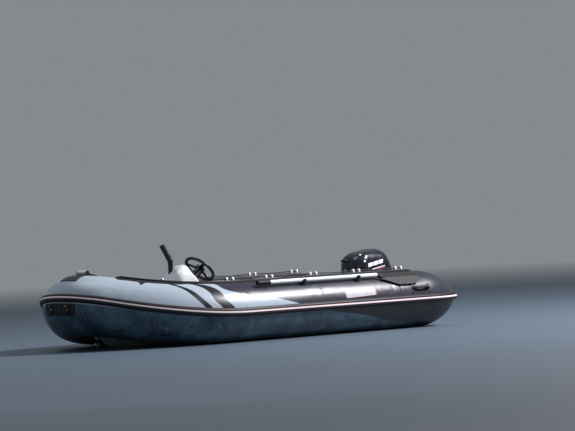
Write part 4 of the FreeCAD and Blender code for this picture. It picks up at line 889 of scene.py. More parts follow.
def plastic_material(name, colour, worn, roughness=0.34, grain=700.0, strength=0.12):
    """Moulded plastic: a fine spark-eroded grain, faded patches and paler edges."""
    material, tree, shader = new_material(name, roughness=roughness, colour=colour, ior=1.5)
    where = spot_on_object(tree)
    cloud = noise(tree, where, 14.0, 5.0, 0.6)
    share = most(tree, times(tree, ramp(tree, cloud, 0.45, 0.75), 0.35),
                  times(tree, edge_wear(tree), 0.6))
    feed(shader, "Base Color", blend_colours(tree, share, colour, worn))
    feed(shader, "Roughness", ramp(tree, cloud, 0.3, 0.7, roughness - 0.05, roughness + 0.1))
    bump(tree, shader, noise(tree, where, grain, 2.0), strength, 0.3 * MM)
    return material


strake_rubber = rubber_material("strake_rubber", "#08090d", "#1f2027", 0.5, ribs=5.0)
strip_rubber = rubber_material("ribbed_strip_rubber", "#050609", "#17181e", 0.62)
patch_rubber = rubber_material("patch_rubber", "#080d14", "#19222c", 0.62)
handle_rubber = rubber_material("handle_rubber", "#040507", "#101116", 0.6)
black_plastic = plastic_material("black_moulded_plastic", "#0a0b0f", "#2b2c33")
glossy_plastic = plastic_material("glossy_black_plastic", "#0c0d12", "#30313a", 0.2, 300.0, 0.04)
white_plastic = plastic_material("white_moulded_plastic", "#e4e6e6", "#c9cbc9", 0.3)
grey_plastic = plastic_material("grey_moulded_plastic", "#7d8287", "#a3a7ab", 0.36)


def stripe_material():
    """White vinyl with a thin red line pressed along both edges."""
    material, tree, shader = new_material("striped_vinyl", roughness=0.32, colour="#f1ecec", ior=1.5)
    marks = skin_marks(tree)
    across = add(tree, "ShaderNodeSeparateXYZ", Vector=marks).outputs["Y"]
    off = maths(tree, "ABSOLUTE", minus(tree, across, 0.5))
    red = ramp(tree, off, 0.32, 0.34)
    where = spot_on_object(tree)
    grime = ramp(tree, noise(tree, stretched(tree, where, (4.0, 30.0, 30.0)), 3.0, 5.0, 0.65), 0.5, 0.75)
    white = blend_colours(tree, times(tree, grime, 0.35), "#f3eeee", "#c8bfc0")
    feed(shader, "Base Color", blend_colours(tree, red, white, "#8a1426"))
    feed(shader, "Roughness", ramp(tree, grime, 0, 1, 0.28, 0.42))
    bump(tree, shader, noise(tree, where, 500.0, 2.0), 0.08, 0.3 * MM)
    return material


def rope_material():
    """Dark polyester rope: fine filaments along each strand, paler where it rubs."""
    material, tree, shader = new_material("laid_rope", roughness=0.75, colour="#17181f", ior=1.45)
    where = spot_on_object(tree)
    fibre = noise(tree, stretched(tree, where, (140.0, 900.0, 900.0)), 3.0, 3.0, 0.7)
    feed(shader, "Base Color", blend_colours(tree, fibre, "#0f1016", "#3b3c45"))
    bump(tree, shader, fibre, 0.6, 0.5 * MM)
    return material


striped_vinyl = stripe_material()
laid_rope = rope_material()
fit_out(strake, strake_rubber, "black_rubber", "boat", "rub_strake")
fit_out(stripe, striped_vinyl, "pale_vinyl", "boat", "strake_stripe")
for piece in strips:
    fit_out(piece, strip_rubber, "black_rubber")
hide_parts("wear_strips")
for piece in flaps:
    fit_out(piece, strip_rubber, "black_rubber")
for piece in ropes:
    fit_out(piece, laid_rope, "rope")
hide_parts("lifelines")

# %% [markdown]
# ## Gelcoat, metal and paint
# The hull, console and lockers are moulded with a glossy gelcoat skin: nearly flat, with a faint
# waviness and hairline scratches. Stainless fittings are polished but never perfect mirrors. The
# motor's enamel is a dark metallic satin that wears to bare metal on its edges.

# %% Gelcoat and metal
def gelcoat_material(name, pale, stained, roughness=0.16, low_stain_and_reflection=0.0, grip=False):
    """Glossy gelcoat: faint waves, hairline scratches, a darker green band low down that is partly a
    waterline stain and partly painted reflection of water, or a moulded grip pattern.
    """
    material, tree, shader = new_material(name, roughness=roughness, colour=pale, ior=1.52, Coat_Weight=0.35,
                                          Coat_Roughness=0.08)
    where = spot_on_object(tree)
    cloud = noise(tree, where, 4.0, 6.0, 0.62)
    height = add(tree, "ShaderNodeSeparateXYZ", Vector=where).outputs["Z"]
    share = times(tree, ramp(tree, cloud, 0.42, 0.8), 0.25)
    # The low band darkens and greens the hull near the waterline: partly a real waterline stain, partly
    # painted reflection of the water.
    if low_stain_and_reflection:
        wavy = plus(tree, height, times(tree, cloud, -0.03))
        share = most(tree, share, times(tree, ramp(tree, wavy, 0.035, -0.01), low_stain_and_reflection))
    colour = blend_colours(tree, share, pale, stained)
    streak = ramp(tree, noise(tree, stretched(tree, where, (30.0, 30.0, 3.0)), 2.0, 4.0, 0.7), 0.58, 0.8)
    colour = blend_colours(tree, times(tree, streak, 0.18), colour, stained)
    feed(shader, "Base Color", colour)
    scratch = noise(tree, stretched(tree, where, (12.0, 260.0, 260.0)), 2.0, 3.0, 0.8)
    feed(shader, "Roughness", ramp(tree, scratch, 0.5, 0.75, roughness, roughness + 0.25))
    relief = noise(tree, where, 22.0, 2.0)
    strength = 0.05
    if grip:
        flat = add(tree, "ShaderNodeNewGeometry").outputs["Normal"]
        level = ramp(tree, add(tree, "ShaderNodeSeparateXYZ", Vector=flat).outputs["Z"], 0.90, 0.97)
        turned = add(tree, "ShaderNodeMapping", Vector=where, Rotation=(0, 0, math.radians(45))).outputs[0]
        cells = add(tree, "ShaderNodeTexVoronoi", {"distance": "CHEBYCHEV"}, Vector=turned, Scale=70.0,
                    Randomness=0.0)
        studs = ramp(tree, cells.outputs["Distance"], 0.38, 0.28)
        relief = plus(tree, relief, times(tree, times(tree, studs, level), 6.0))
        strength = 0.35
    bump(tree, shader, relief, strength, 1.0 * MM)
    return material


def steel_material():
    """Polished stainless steel with fine draw lines and tea stains."""
    material, tree, shader = new_material("polished_stainless", 0.16, 1.0, "#c6c8cb")
    where = spot_on_object(tree)
    cloud = noise(tree, where, 26.0, 5.0, 0.6)
    feed(shader, "Base Color", blend_colours(tree, ramp(tree, cloud, 0.5, 0.75), "#cdd0d3", "#9a8f80"))
    lines = noise(tree, stretched(tree, where, (600.0, 60.0, 600.0)), 1.0, 2.0)
    feed(shader, "Roughness", ramp(tree, lines, 0.3, 0.7, 0.12, 0.3))
    bump(tree, shader, lines, 0.06, 0.2 * MM)
    return material


def enamel_material(name, colour, flake, bare="#8b8d92", roughness=0.3, wear=0.5, metal=0.35):
    """Satin enamel over cast aluminium: small flakes, fine dust and bare edges."""
    material, tree, shader = new_material(name, roughness, metal, colour, Coat_Weight=0.5,
                                          Coat_Roughness=0.12)
    where = spot_on_object(tree)
    sparkle = noise(tree, where, 1800.0, 1.0)
    paint = blend_colours(tree, ramp(tree, sparkle, 0.5, 0.72), colour, flake)
    dusty = ramp(tree, noise(tree, where, 9.0, 5.0, 0.65), 0.45, 0.75)
    paint = blend_colours(tree, times(tree, dusty, 0.22), paint, "#4c4f58")
    chipped = times(tree, edge_wear(tree, 1.6 * MM), ramp(tree, noise(tree, where, 60.0, 3.0), 0.5, 0.62))
    paint = blend_colours(tree, times(tree, chipped, wear), paint, bare)
    feed(shader, "Base Color", paint)
    feed(shader, "Roughness", ramp(tree, dusty, 0, 1, roughness - 0.04, roughness + 0.14))
    bump(tree, shader, noise(tree, where, 260.0, 3.0), 0.07, 0.4 * MM)
    return material


# The hull's low green band is partly a waterline stain and partly painted reflection of the water.
hull_gelcoat = gelcoat_material("hull_gelcoat", "#a3aca6", "#5d6f5c", 0.2, low_stain_and_reflection=0.8)
white_gelcoat = gelcoat_material("white_gelcoat", "#dcdee0", "#b3b0a6", 0.14)
deck_gelcoat = gelcoat_material("non_skid_gelcoat", "#8d9394", "#6a6b62", 0.35, grip=True)
stainless = steel_material()
motor_enamel = enamel_material("motor_enamel", "#11131f", "#292c3d", roughness=0.24, wear=0.2)
leg_enamel = enamel_material("leg_enamel", "#1d1f2a", "#3c3f4e", roughness=0.34)
bracket_enamel = enamel_material("bracket_enamel", "#20222b", "#41444f", roughness=0.4, wear=0.7)
propeller_metal = enamel_material("propeller_metal", "#2a2c30", "#4b4e54", roughness=0.32, wear=0.9,
                                  metal=0.7)
zinc_steel = enamel_material("zinc_plated_steel", "#85888c", "#a9acb0", roughness=0.34, wear=0.3, metal=0.9)


def board_material():
    """The transom: gelcoat over marine plywood, with the wood grain just showing through."""
    material, tree, shader = new_material("gelcoated_board", roughness=0.28, colour="#c9cdc9", ior=1.5)
    where = spot_on_object(tree)
    grain = noise(tree, stretched(tree, where, (60.0, 3.0, 40.0)), 1.6, 5.0, 0.6)
    feed(shader, "Base Color", blend_colours(tree, ramp(tree, grain, 0.4, 0.75), "#ccd0cc", "#a9aca2"))
    feed(shader, "Roughness", ramp(tree, grain, 0.3, 0.7, 0.24, 0.4))
    bump(tree, shader, grain, 0.12, 0.5 * MM)
    return material


gelcoated_board = board_material()

# %% [markdown]
# ## Dressing the frame's pieces
# A frame piece whose shape is right keeps its mesh and only changes its material. The table says
# which finish goes on which pieces.

# %% Materials on the frame's own pieces
FINISHES = [
    (hull_gelcoat, ["hull"]),
    (white_gelcoat, ["console", "seat_base", "bow_locker"]),
    (deck_gelcoat, ["deck", "locker_lid"]),
    (gelcoated_board, ["transom"]),
    (stainless, ["keel_strip", "stern_eyes", "bow_eye", "tow_rings", "locker_hinge", "clamp_screws",
                 "steering_ram"]),
    (white_plastic, ["lifeline_eyelets", "bow_roller"]),
    (grey_plastic, ["drains", "valves"]),
    (black_plastic, ["transom_pads", "helm", "display", "throttle_box", "throttle_lever", "oar_clips",
                     "fairlead", "steering_wheel"]),
    (patch_rubber, ["tow_patches"]),
    (handle_rubber, ["stern_handles"]),
    (bracket_enamel, ["clamp_bracket", "swivel_bracket", "steer_yoke"]),
    (zinc_steel, ["tilt_tube"]),
    (leg_enamel, ["leg", "gearcase"]),
    (motor_enamel, ["cowl_pan", "cowl", "powerhead"]),
    (handle_rubber, ["cowl_seal"]),
    (propeller_metal, ["propeller"]),
]


def dress(node, material):
    """Give a frame piece its finish."""
    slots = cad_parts[node].material_slots
    for place in slots:
        place.link = "OBJECT"
        place.material = material
    return len(slots)


for material, nodes in FINISHES:
    for node in nodes:
        if not dress(node, material):
            print("no material slot on", node)
print("dressed", sum(len(nodes) for material, nodes in FINISHES), "frame pieces")

# %% [markdown]
# ## Oars
# One finish serves the whole oar: where it lies along the boat decides whether it is the foam grip,
# the white shaft or the black blade.

# %% Oar finish
def oar_material():
    """White tube, ribbed foam grip and black blade, told apart by the place along the boat."""
    material, tree, shader = new_material("oar_tube_and_blade", roughness=0.3, colour="#dfe2e3", ior=1.48)
    where = spot_on_object(tree)
    along = add(tree, "ShaderNodeSeparateXYZ", Vector=where).outputs["X"]
    is_grip = maths(tree, "LESS_THAN", along, OAR_GRIP_END)
    is_blade = maths(tree, "GREATER_THAN", along, OAR_BLADE_START)
    scuff = ramp(tree, noise(tree, stretched(tree, where, (7.0, 30.0, 30.0)), 3.0, 6.0, 0.7), 0.58, 0.7)
    white = blend_colours(tree, times(tree, scuff, 0.4), "#dfe2e3", "#8b9196")
    dark = blend_colours(tree, times(tree, scuff, 0.3), "#030406", "#1b1c22")
    colour = blend_colours(tree, most(tree, is_grip, is_blade), white, dark)
    feed(shader, "Base Color", colour)
    feed(shader, "Roughness", plus(tree, times(tree, most(tree, is_grip, is_blade), 0.4), 0.28))
    ribs = times(tree, maths(tree, "SINE", times(tree, along, 900.0)), is_grip)
    grain = noise(tree, where, 600.0, 2.0)
    bump(tree, shader, plus(tree, ribs, grain), 0.15, 0.5 * MM)
    return material


OAR_GRIP_END = -1.587
OAR_BLADE_START = -0.465
oar_finish = oar_material()
for node in ("oar_port", "oar_starboard"):
    dress(node, oar_finish)

# %% [markdown]
# ## Laying thin things on curved pieces
# A label or a panel has to follow the surface under it. Rays are cast at the piece from a flat
# grid, and each point is lifted a fraction of a millimetre along the surface's own normal.

# %% Finding a surface and laying a sheet on it
from mathutils.bvhtree import BVHTree


SHEET_COLUMNS, SHEET_ROWS = 12, 6
RAY_BACK = 0.4


def surface_of(*nodes):
    """A search tree over some frame pieces."""
    build = bmesh.new()
    for node in nodes:
        build.from_mesh(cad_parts[node].data)
    tree = BVHTree.FromBMesh(build)
    build.free()
    return tree


def land(tree, start, direction):
    """Where a ray meets the surface, and the normal that faces back along it."""
    spot, normal, index, far = tree.ray_cast(Vector(start), Vector(direction).normalized())
    if spot is None:
        raise ValueError("a ray missed the surface at " + str(tuple(start)))
    return spot, -normal if normal.dot(Vector(direction)) > 0 else normal


def rounded_row(share, corner, size):
    """How far a rounded rectangle's side is pulled in, near its ends."""
    near = min(share, 1 - share) * size
    return 0.0 if near >= corner else corner - math.sqrt(max(corner ** 2 - (corner - near) ** 2, 0))


def label(name, tree, centre, right_way, up_way, size, towards, corner=0.0, lift=0.5 * MM, slant=0.0):
    """A rounded rectangle laid on a surface along a direction, with a skirt round its edge."""
    right_way, up_way = Vector(right_way).normalized(), Vector(up_way).normalized()
    towards = Vector(towards).normalized()
    width, height = size
    rows = SHEET_ROWS
    build = bmesh.new()
    grid = []
    inner = [0.12 + 0.76 * i / (SHEET_COLUMNS - 1) for i in range(SHEET_COLUMNS)]
    shares = [0.0, 0.02, 0.06] + inner + [0.94, 0.98, 1.0]
    for share in shares:
        pull = rounded_row(share, corner, width)
        row = []
        for j in range(rows + 1):
            level = (j / rows - 0.5) * (height - 2 * pull)
            across = (share - 0.5) * width + slant * level
            start = Vector(centre) + right_way * across + up_way * level - towards * RAY_BACK
            spot, normal = land(tree, start, towards)
            row.append((spot + normal * lift, spot - normal * lift * 0.4))
        grid.append(row)
    top = [[build.verts.new(spot[0]) for spot in row] for row in grid]
    last, end = len(grid) - 1, rows
    for i in range(last):
        for j in range(end):
            build.faces.new((top[i][j], top[i + 1][j], top[i + 1][j + 1], top[i][j + 1])).smooth = True
    rim = [(i, 0) for i in range(last)] + [(last, j) for j in range(end)]
    rim += [(i, end) for i in range(last, 0, -1)] + [(0, j) for j in range(end, 0, -1)]
    low = [build.verts.new(grid[i][j][1]) for i, j in rim]
    for k in range(len(rim)):
        after = (k + 1) % len(rim)
        (i, j), (m, n) = rim[k], rim[after]
        build.faces.new((top[i][j], top[m][n], low[after], low[k]))
    bmesh.ops.remove_doubles(build, verts=build.verts, dist=0.01 * MM)
    return finish_piece(name, build)


def turned_profile(name, profile, spot, axis, steps=40):
    """A round piece: a profile in mm, (radius, height), turned about an axis that stands on a spot."""
    build = bmesh.new()
    rings = []
    for radius, height in profile:
        turns = [2 * math.pi * k / steps for k in range(steps if radius else 1)]
        wide, high = radius * MM, height * MM
        rings.append([build.verts.new((wide * math.cos(turn), wide * math.sin(turn), high))
                      for turn in turns])
    for low, high in zip(rings, rings[1:]):
        for k in range(steps):
            after = (k + 1) % steps
            corners = [low[k % len(low)], low[after % len(low)], high[after % len(high)], high[k % len(high)]]
            build.faces.new(list(dict.fromkeys(corners))).smooth = True
    level = Vector(axis).to_track_quat("Z", "Y").to_matrix().to_4x4()
    return finish_piece(name, build, TURNED_BEND, turn=Matrix.Translation(Vector(spot)) @ level)


# %% [markdown]
# ## Stern handles
# Each handle is two glued pads, wider at their outer ends, with a moulded grip that arches from
# one to the other and leaves room for a hand.

# %% The stern handles
HANDLE_FRONT, HANDLE_END = 150 * MM, -52 * MM
HANDLE_PAD = 52 * MM
HANDLE_ANGLE = 24.0
GRIP_FOOT, GRIP_RISE, GRIP_INSET = 5 * MM, 22 * MM, 12 * MM
GRIP_RINGS, GRIP_SIDES = 48, 16
PAD_TALL, PAD_NARROWING, PAD_THICKNESS = 37 * MM, 17 * MM, 4.5 * MM
PAD_ROUND, PAD_ROUND_SHARE = 7 * MM, 0.12
PAD_STEPS = 16


def handle_half(distance):
    """Half the pads' height in degrees: tall at the handle's two ends, narrow towards its middle."""
    near = min(abs(distance - HANDLE_FRONT), abs(distance - HANDLE_END)) / HANDLE_PAD
    height = PAD_TALL - PAD_NARROWING * min(near, 1) ** 1.3
    if near < PAD_ROUND_SHARE:
        height -= PAD_ROUND * (1 - math.sqrt(max(1 - (1 - near / PAD_ROUND_SHARE) ** 2, 0)))
    return arc_degrees(height, STRAKE_BASE)


def handle_pad(name, side):
    """The two pads of one handle."""
    pads = []
    for start in (HANDLE_FRONT - HANDLE_PAD, HANDLE_END):
        places = [start + HANDLE_PAD * k / PAD_STEPS for k in range(PAD_STEPS + 1)]
        pads.append(patch(name + ("_front" if start > 0 else "_aft"), places,
                          lambda s: HANDLE_ANGLE - handle_half(s), lambda s: HANDLE_ANGLE + handle_half(s),
                          PAD_THICKNESS, 8, side))
    return pads


def handle_grip(name, side):
    """The arched grip: an oval bar with finger swells, flattened where it joins its pads."""
    rings, marks = [], []
    angle = math.radians(HANDLE_ANGLE)
    away = Vector((0, -math.cos(angle), math.sin(angle)))
    along_skin = Vector((0, math.sin(angle), math.cos(angle)))
    start, end = HANDLE_FRONT - GRIP_INSET, HANDLE_END + GRIP_INSET
    for k in range(GRIP_RINGS + 1):
        share = k / GRIP_RINGS
        distance = start + (end - start) * share
        arch = 1 - abs(2 * share - 1) ** 4.0
        far = cone_radius(distance) + GRIP_FOOT + GRIP_RISE * arch
        middle = Vector((-distance, TUBE_MIDDLE.y, TUBE_MIDDLE.z)) + away * far
        slope = 8 * (2 * share - 1) ** 3 * GRIP_RISE / (end - start)
        lean = math.atan(abs(slope)) * (1 if share < 0.5 else -1)
        thick = 5.5 * MM + 1.0 * MM * math.cos(10 * math.pi * share) * arch
        wide = 14 * MM - 3 * MM * arch
        out = away * math.cos(lean) + Vector((1, 0, 0)) * math.sin(lean) * -1
        ring = []
        for m in range(GRIP_SIDES):
            turn = 2 * math.pi * m / GRIP_SIDES
            spot = middle + out * (thick * math.sin(turn)) + along_skin * (wide * math.cos(turn))
            ring.append((spot.x, spot.y * side, spot.z))
        rings.append(np.array(ring))
        marks.append(distance)
    return swept(name, rings, marks)


handle_pieces = []
for name, side in (("port", 1), ("starboard", -1)):
    handle_pieces += handle_pad("handle_pad_" + name, side)
    handle_pieces.append(handle_grip("handle_grip_" + name, side))
for piece in handle_pieces:
    fit_out(piece, handle_rubber, "black_rubber")
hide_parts("stern_handles")

# %% [markdown]
# ## Blank label on the quarter
# The boat carries a white label with a thin red keyline on each side. Here it stays blank.

# %% The side labels
LABEL_AFT, LABEL_FRONT = 0.54, 0.87
LABEL_LENGTH, LABEL_HEIGHT = LABEL_FRONT - LABEL_AFT, 85 * MM
LABEL_CORNER, LABEL_THICKNESS = 14 * MM, 1.3 * MM


def label_material():
    """Weathered white vinyl with a red keyline near its edge."""
    material, tree, shader = new_material("blank_side_label", roughness=0.34, colour="#e6e1e2", ior=1.5)
    split = add(tree, "ShaderNodeSeparateXYZ", Vector=skin_marks(tree))
    along = maths(tree, "DIVIDE", minus(tree, split.outputs["X"], LABEL_AFT), LABEL_LENGTH)
    insets = []
    for share, size in ((along, LABEL_LENGTH), (split.outputs["Y"], LABEL_HEIGHT)):
        off = times(tree, maths(tree, "ABSOLUTE", minus(tree, share, 0.5)), size)
        insets.append(minus(tree, size / 2, off))
    inset = maths(tree, "MINIMUM", *insets)
    line = times(tree, ramp(tree, inset, 2 * MM, 3 * MM), ramp(tree, inset, 9.5 * MM, 8.5 * MM))
    where = spot_on_object(tree)
    grime = ramp(tree, noise(tree, where, 16.0, 6.0, 0.65), 0.48, 0.75)
    white = blend_colours(tree, times(tree, grime, 0.5), "#b4b0b5", "#8c878d")
    feed(shader, "Base Color", blend_colours(tree, times(tree, line, 0.85), white, "#9c1526"))
    bump(tree, shader, noise(tree, where, 400.0, 2.0), 0.05, 0.3 * MM)
    return material


def label_edge(distance, start, fall, way):
    """An edge of the label in degrees: it falls towards the bow, and its corners are rounded."""
    share = (distance - LABEL_AFT) / LABEL_LENGTH
    pull = math.degrees(rounded_row(share, LABEL_CORNER, LABEL_LENGTH) / TUBE_RADIUS)
    return start - fall * share + way * pull


def side_sheet(name, side):
    """The label laid on one tube."""
    return patch(name, label_places, lambda s: label_edge(s, 16.0, 3.0, 1),
                 lambda s: label_edge(s, 33.0, 1.0, -1), LABEL_THICKNESS, 10, side)


label_shares = [0, 0.005, 0.015, 0.03, 0.045] + [0.06 + 0.88 * k / 20 for k in range(21)]
label_shares += [0.955, 0.97, 0.985, 0.995, 1.0]
label_places = [LABEL_AFT + LABEL_LENGTH * share for share in label_shares]
side_label = label_material()
for piece in both_sides(side_sheet, "side_label"):
    fit_out(piece, side_label, "pale_vinyl")

# %% [markdown]
# ## Cowl details
# Generic slanted bars stand where the cowl is decorated. The dots, the latch and the pull handle
# sit where the camera sees them: a ray through a picture point finds the place on the cowl.

# %% Cowl bars, dots, latch and pull handle
def sheer_vinyl(name, colour):
    """A thin cut decal with a soft gloss."""
    material, tree, shader = new_material(name, roughness=0.3, colour=colour, ior=1.5)
    where = spot_on_object(tree)
    rub = ramp(tree, noise(tree, stretched(tree, where, (6.0, 40.0, 40.0)), 4.0, 5.0, 0.7), 0.55, 0.75)
    feed(shader, "Base Color", blend_colours(tree, times(tree, rub, 0.35), colour, "#7c7d86"))
    bump(tree, shader, noise(tree, where, 500.0, 2.0), 0.05, 0.2 * MM)
    return material


white_decal = sheer_vinyl("white_decal", "#e9e9ee")
red_decal = sheer_vinyl("red_decal", "#b22434")
cowl_tree = surface_of("cowl")
SIDES = ((1, "port"), (-1, "starboard"))
BAR_SLANT = math.radians(9.5)
SLANT_UP = Vector((math.cos(BAR_SLANT), 0, math.sin(BAR_SLANT)))
BARS = [
    # middle x, middle z, length, height, material
    (0.093, 0.5045, 0.052, 0.030, white_decal),
    (0.152, 0.5145, 0.052, 0.030, white_decal),
    (0.211, 0.5245, 0.052, 0.030, white_decal),
    (0.178, 0.4790, 0.150, 0.007, white_decal),
    (0.200, 0.4700, 0.110, 0.005, red_decal),
]
DOT_PICTURE_SPOTS = [(360.2, 254.8), (364.8, 261.2)]
DOT_PROFILE = [(0, 1.6), (7, 1.5), (9, 0.8), (9.6, -1.5)]
LATCH_PICTURE_SPOT = (345.6, 268.4)
LATCH_HEIGHT, LATCH_SIZE = 0.462, (0.030, 0.040)
PULL_SPOT = Vector((-0.028, 0.034, 0.545))
PULL_PROFILE = [(0, 15), (9, 15), (10.5, 13), (13, 4), (16, 1), (16.5, -3)]
PULL_HALF, PULL_OUT, PULL_RADIUS = 34 * MM, 20 * MM, 8.5 * MM
PULL_RINGS = 25

for side, side_name in SIDES:
    for index, (x, z, length, height, material) in enumerate(BARS):
        bar = label("cowl_bar_" + side_name + "_" + str(index), cowl_tree, (x, -0.2 * side, z), SLANT_UP,
                    (0, 0, 1), (length, height), (0, side, 0), corner=2 * MM, lift=0.4 * MM, slant=0.35)
        fit_out(bar, material, "pale_vinyl", "motor_steer")

for index, picture_spot in enumerate(DOT_PICTURE_SPOTS):
    spot, normal = land(cowl_tree, *picture_ray(*picture_spot))
    for side, side_name in SIDES:
        place = Vector((spot.x, spot.y * side, spot.z))
        way = Vector((normal.x, normal.y * side, normal.z))
        dot = turned_profile("cowl_dot_" + str(index) + "_" + side_name, DOT_PROFILE, place, way, 32)
        fit_out(dot, white_decal, "pale_vinyl", "motor_steer")

spot, normal = land(surface_of("cowl", "cowl_pan"), *picture_ray(*LATCH_PICTURE_SPOT))
latch = label("cowl_latch", cowl_tree, (spot.x, spot.y, LATCH_HEIGHT), normal.cross((0, 0, 1)), (0, 0, 1),
              LATCH_SIZE, -normal, corner=7 * MM, lift=7 * MM)
fit_out(latch, grey_plastic, "white_plastic", "motor_steer")

spot, normal = land(cowl_tree, PULL_SPOT - Vector((0.3, 0, 0)), (1, 0, 0))
pull = turned_profile("pull_handle_boss", PULL_PROFILE, spot, (-1, 0, 0.05), 32)
fit_out(pull, black_plastic, "black_plastic", "motor_steer")
grip_rings = []
for k in range(PULL_RINGS):
    share = k / (PULL_RINGS - 1) * 2 - 1
    radius = PULL_RADIUS * (1 - abs(share) ** 6 * 0.55) + 0.7 * MM * math.cos(9 * share)
    centre = spot + Vector((-PULL_OUT, share * PULL_HALF, 1 * MM))
    grip_rings.append(round_ring(centre, Vector((0.8, 0, 0)), Vector((0, 0, 1)), radius, 16))
grip = swept("pull_handle_grip", grip_rings, list(range(PULL_RINGS)))
fit_out(grip, handle_rubber, "black_rubber", "motor_steer")

# %% [markdown]
# ## The instrument's screen
# The display's face is a dark glass panel in a soft bezel, with a row of keys under it.

# %% Screen, keys and dash
DISPLAY_LEAN, DISPLAY_SWIVEL = math.radians(-25), math.radians(-42)
DISPLAY_SPOT = Vector((-1.872, 0.034, 0.628))
KEY_PROFILE = [(0, 3.6), (4.5, 3.5), (6.5, 2.8), (7, 1.2), (7, -1)]
KEY_COUNT, KEY_FIRST, KEY_STEP, KEY_HEIGHT = 4, -0.033, 0.022, 0.031
DASH_UP = Vector((-0.35, 0, 1)).normalized()
SWITCH_COUNT, SWITCH_TOP, SWITCH_STEP = 3, 0.434, 0.033
LIGHT_PROFILE = [(0, 4.5), (2.5, 4), (3.4, 2.6), (3.6, 1)]
GAUGE_DIAMETER, GAUGE_TICKS = 52 * MM, 24
GAUGE_RAY = (-1.4, 0.058, 0.415)
RIM_PROFILE = [(25.5, 2.4), (27, 4.6), (30, 4.2), (32, 2), (32, -3)]
DIAL_PROFILE = [(0, 1.4), (12, 1.4), (26, 1.4)]
# The needle's stations in mm: the distance from the pivot and half the width.
NEEDLE = ((-7, 1.4), (0, 1.6), (18, 0.5))
display_turn = Matrix.Rotation(DISPLAY_SWIVEL, 3, "Z")
lean_turn = Matrix.Rotation(DISPLAY_LEAN, 3, "Y")


def on_display(out, across, high):
    """A spot in the display's own measurements: out of its face, across it, and up it."""
    return DISPLAY_SPOT + display_turn @ (lean_turn @ Vector((out, across, high)))


def glass_material():
    """Dark glass with smears."""
    material, tree, shader = new_material("screen_glass", roughness=0.06, colour="#0b0f16", ior=1.5,
                                          Coat_Weight=1.0, Coat_Roughness=0.03)
    smear = noise(tree, stretched(tree, spot_on_object(tree), (30.0, 30.0, 90.0)), 2.0, 4.0, 0.6)
    feed(shader, "Roughness", ramp(tree, smear, 0.4, 0.8, 0.04, 0.28))
    feed(shader, "Base Color", blend_colours(tree, ramp(tree, smear, 0.5, 0.9), "#0b0f16", "#222832"))
    return material


def gauge_material(middle):
    """A pale dial with black ticks round its edge, drawn about the dial's own middle."""
    material, tree, shader = new_material("gauge_face", roughness=0.4, colour="#e9e9e4", ior=1.5)
    off = vector_step(tree, "SUBTRACT", spot_on_object(tree), _1=tuple(middle)).outputs["Vector"]
    off = vector_step(tree, "SCALE", off, Scale=1 / GAUGE_DIAMETER).outputs["Vector"]
    split = add(tree, "ShaderNodeSeparateXYZ", Vector=off)
    side, up = split.outputs["Y"], split.outputs["Z"]
    flat = add(tree, "ShaderNodeCombineXYZ", X=0.0, Y=side, Z=up).outputs[0]
    radius = vector_step(tree, "LENGTH", flat).outputs["Value"]
    turn = maths(tree, "ARCTAN2", up, side)
    teeth = maths(tree, "FRACT", times(tree, turn, GAUGE_TICKS / (2 * math.pi)))
    tick = times(tree, ramp(tree, teeth, 0.16, 0.12), ramp(tree, radius, 0.36, 0.365))
    tick = times(tree, tick, ramp(tree, radius, 0.44, 0.435))
    feed(shader, "Base Color", blend_colours(tree, tick, "#e9e9e4", "#17181c"))
    bump(tree, shader, tick, 0.1, 0.2 * MM)
    return material


display_tree = surface_of("display")
face_way = display_turn @ (lean_turn @ Vector((1, 0, 0)))
across_way = display_turn @ Vector((0, 1, 0))
up_way = display_turn @ (lean_turn @ Vector((0, 0, 1)))
for name, high, size, corner, lift, material in (
        ("display_bezel", 0.078, (0.100, 0.112), 8 * MM, 1.6 * MM, glossy_plastic),
        ("display_screen", 0.084, (0.086, 0.084), 4 * MM, 2.0 * MM, glass_material())):
    sheet = label(name, display_tree, on_display(0.02, 0, high), across_way, up_way, size, -face_way,
                  corner=corner, lift=lift)
    fit_out(sheet, material, "black_plastic")
for index in range(KEY_COUNT):
    start = on_display(0.1, KEY_FIRST + KEY_STEP * index, KEY_HEIGHT)
    spot, normal = land(display_tree, start, -face_way)
    key = turned_profile("display_key_" + str(index), KEY_PROFILE, spot, normal, 24)
    fit_out(key, handle_rubber, "black_rubber")

console_tree = surface_of("console")


def dash_sheet(name, place, size, corner, lift, material):
    """A raised panel on the console's aft face."""
    sheet = label(name, console_tree, place, (0, 1, 0), DASH_UP, size, (-1, 0, 0), corner=corner, lift=lift)
    fit_out(sheet, material, "black_plastic")


dash_sheet("dash_panel", (-1.60, -0.055, 0.400), (0.070, 0.105), 8 * MM, 2 * MM, glossy_plastic)
for index in range(SWITCH_COUNT):
    z = SWITCH_TOP - SWITCH_STEP * index
    dash_sheet("dash_switch_" + str(index), (-1.60, -0.064, z), (0.022, 0.024), 3 * MM, 7 * MM, black_plastic)
    spot, normal = land(console_tree, (-1.4, -0.038, z), (-1, 0, 0))
    lamp_dot = turned_profile("dash_light_" + str(index), LIGHT_PROFILE, spot, normal, 20)
    fit_out(lamp_dot, red_decal, "pale_vinyl")

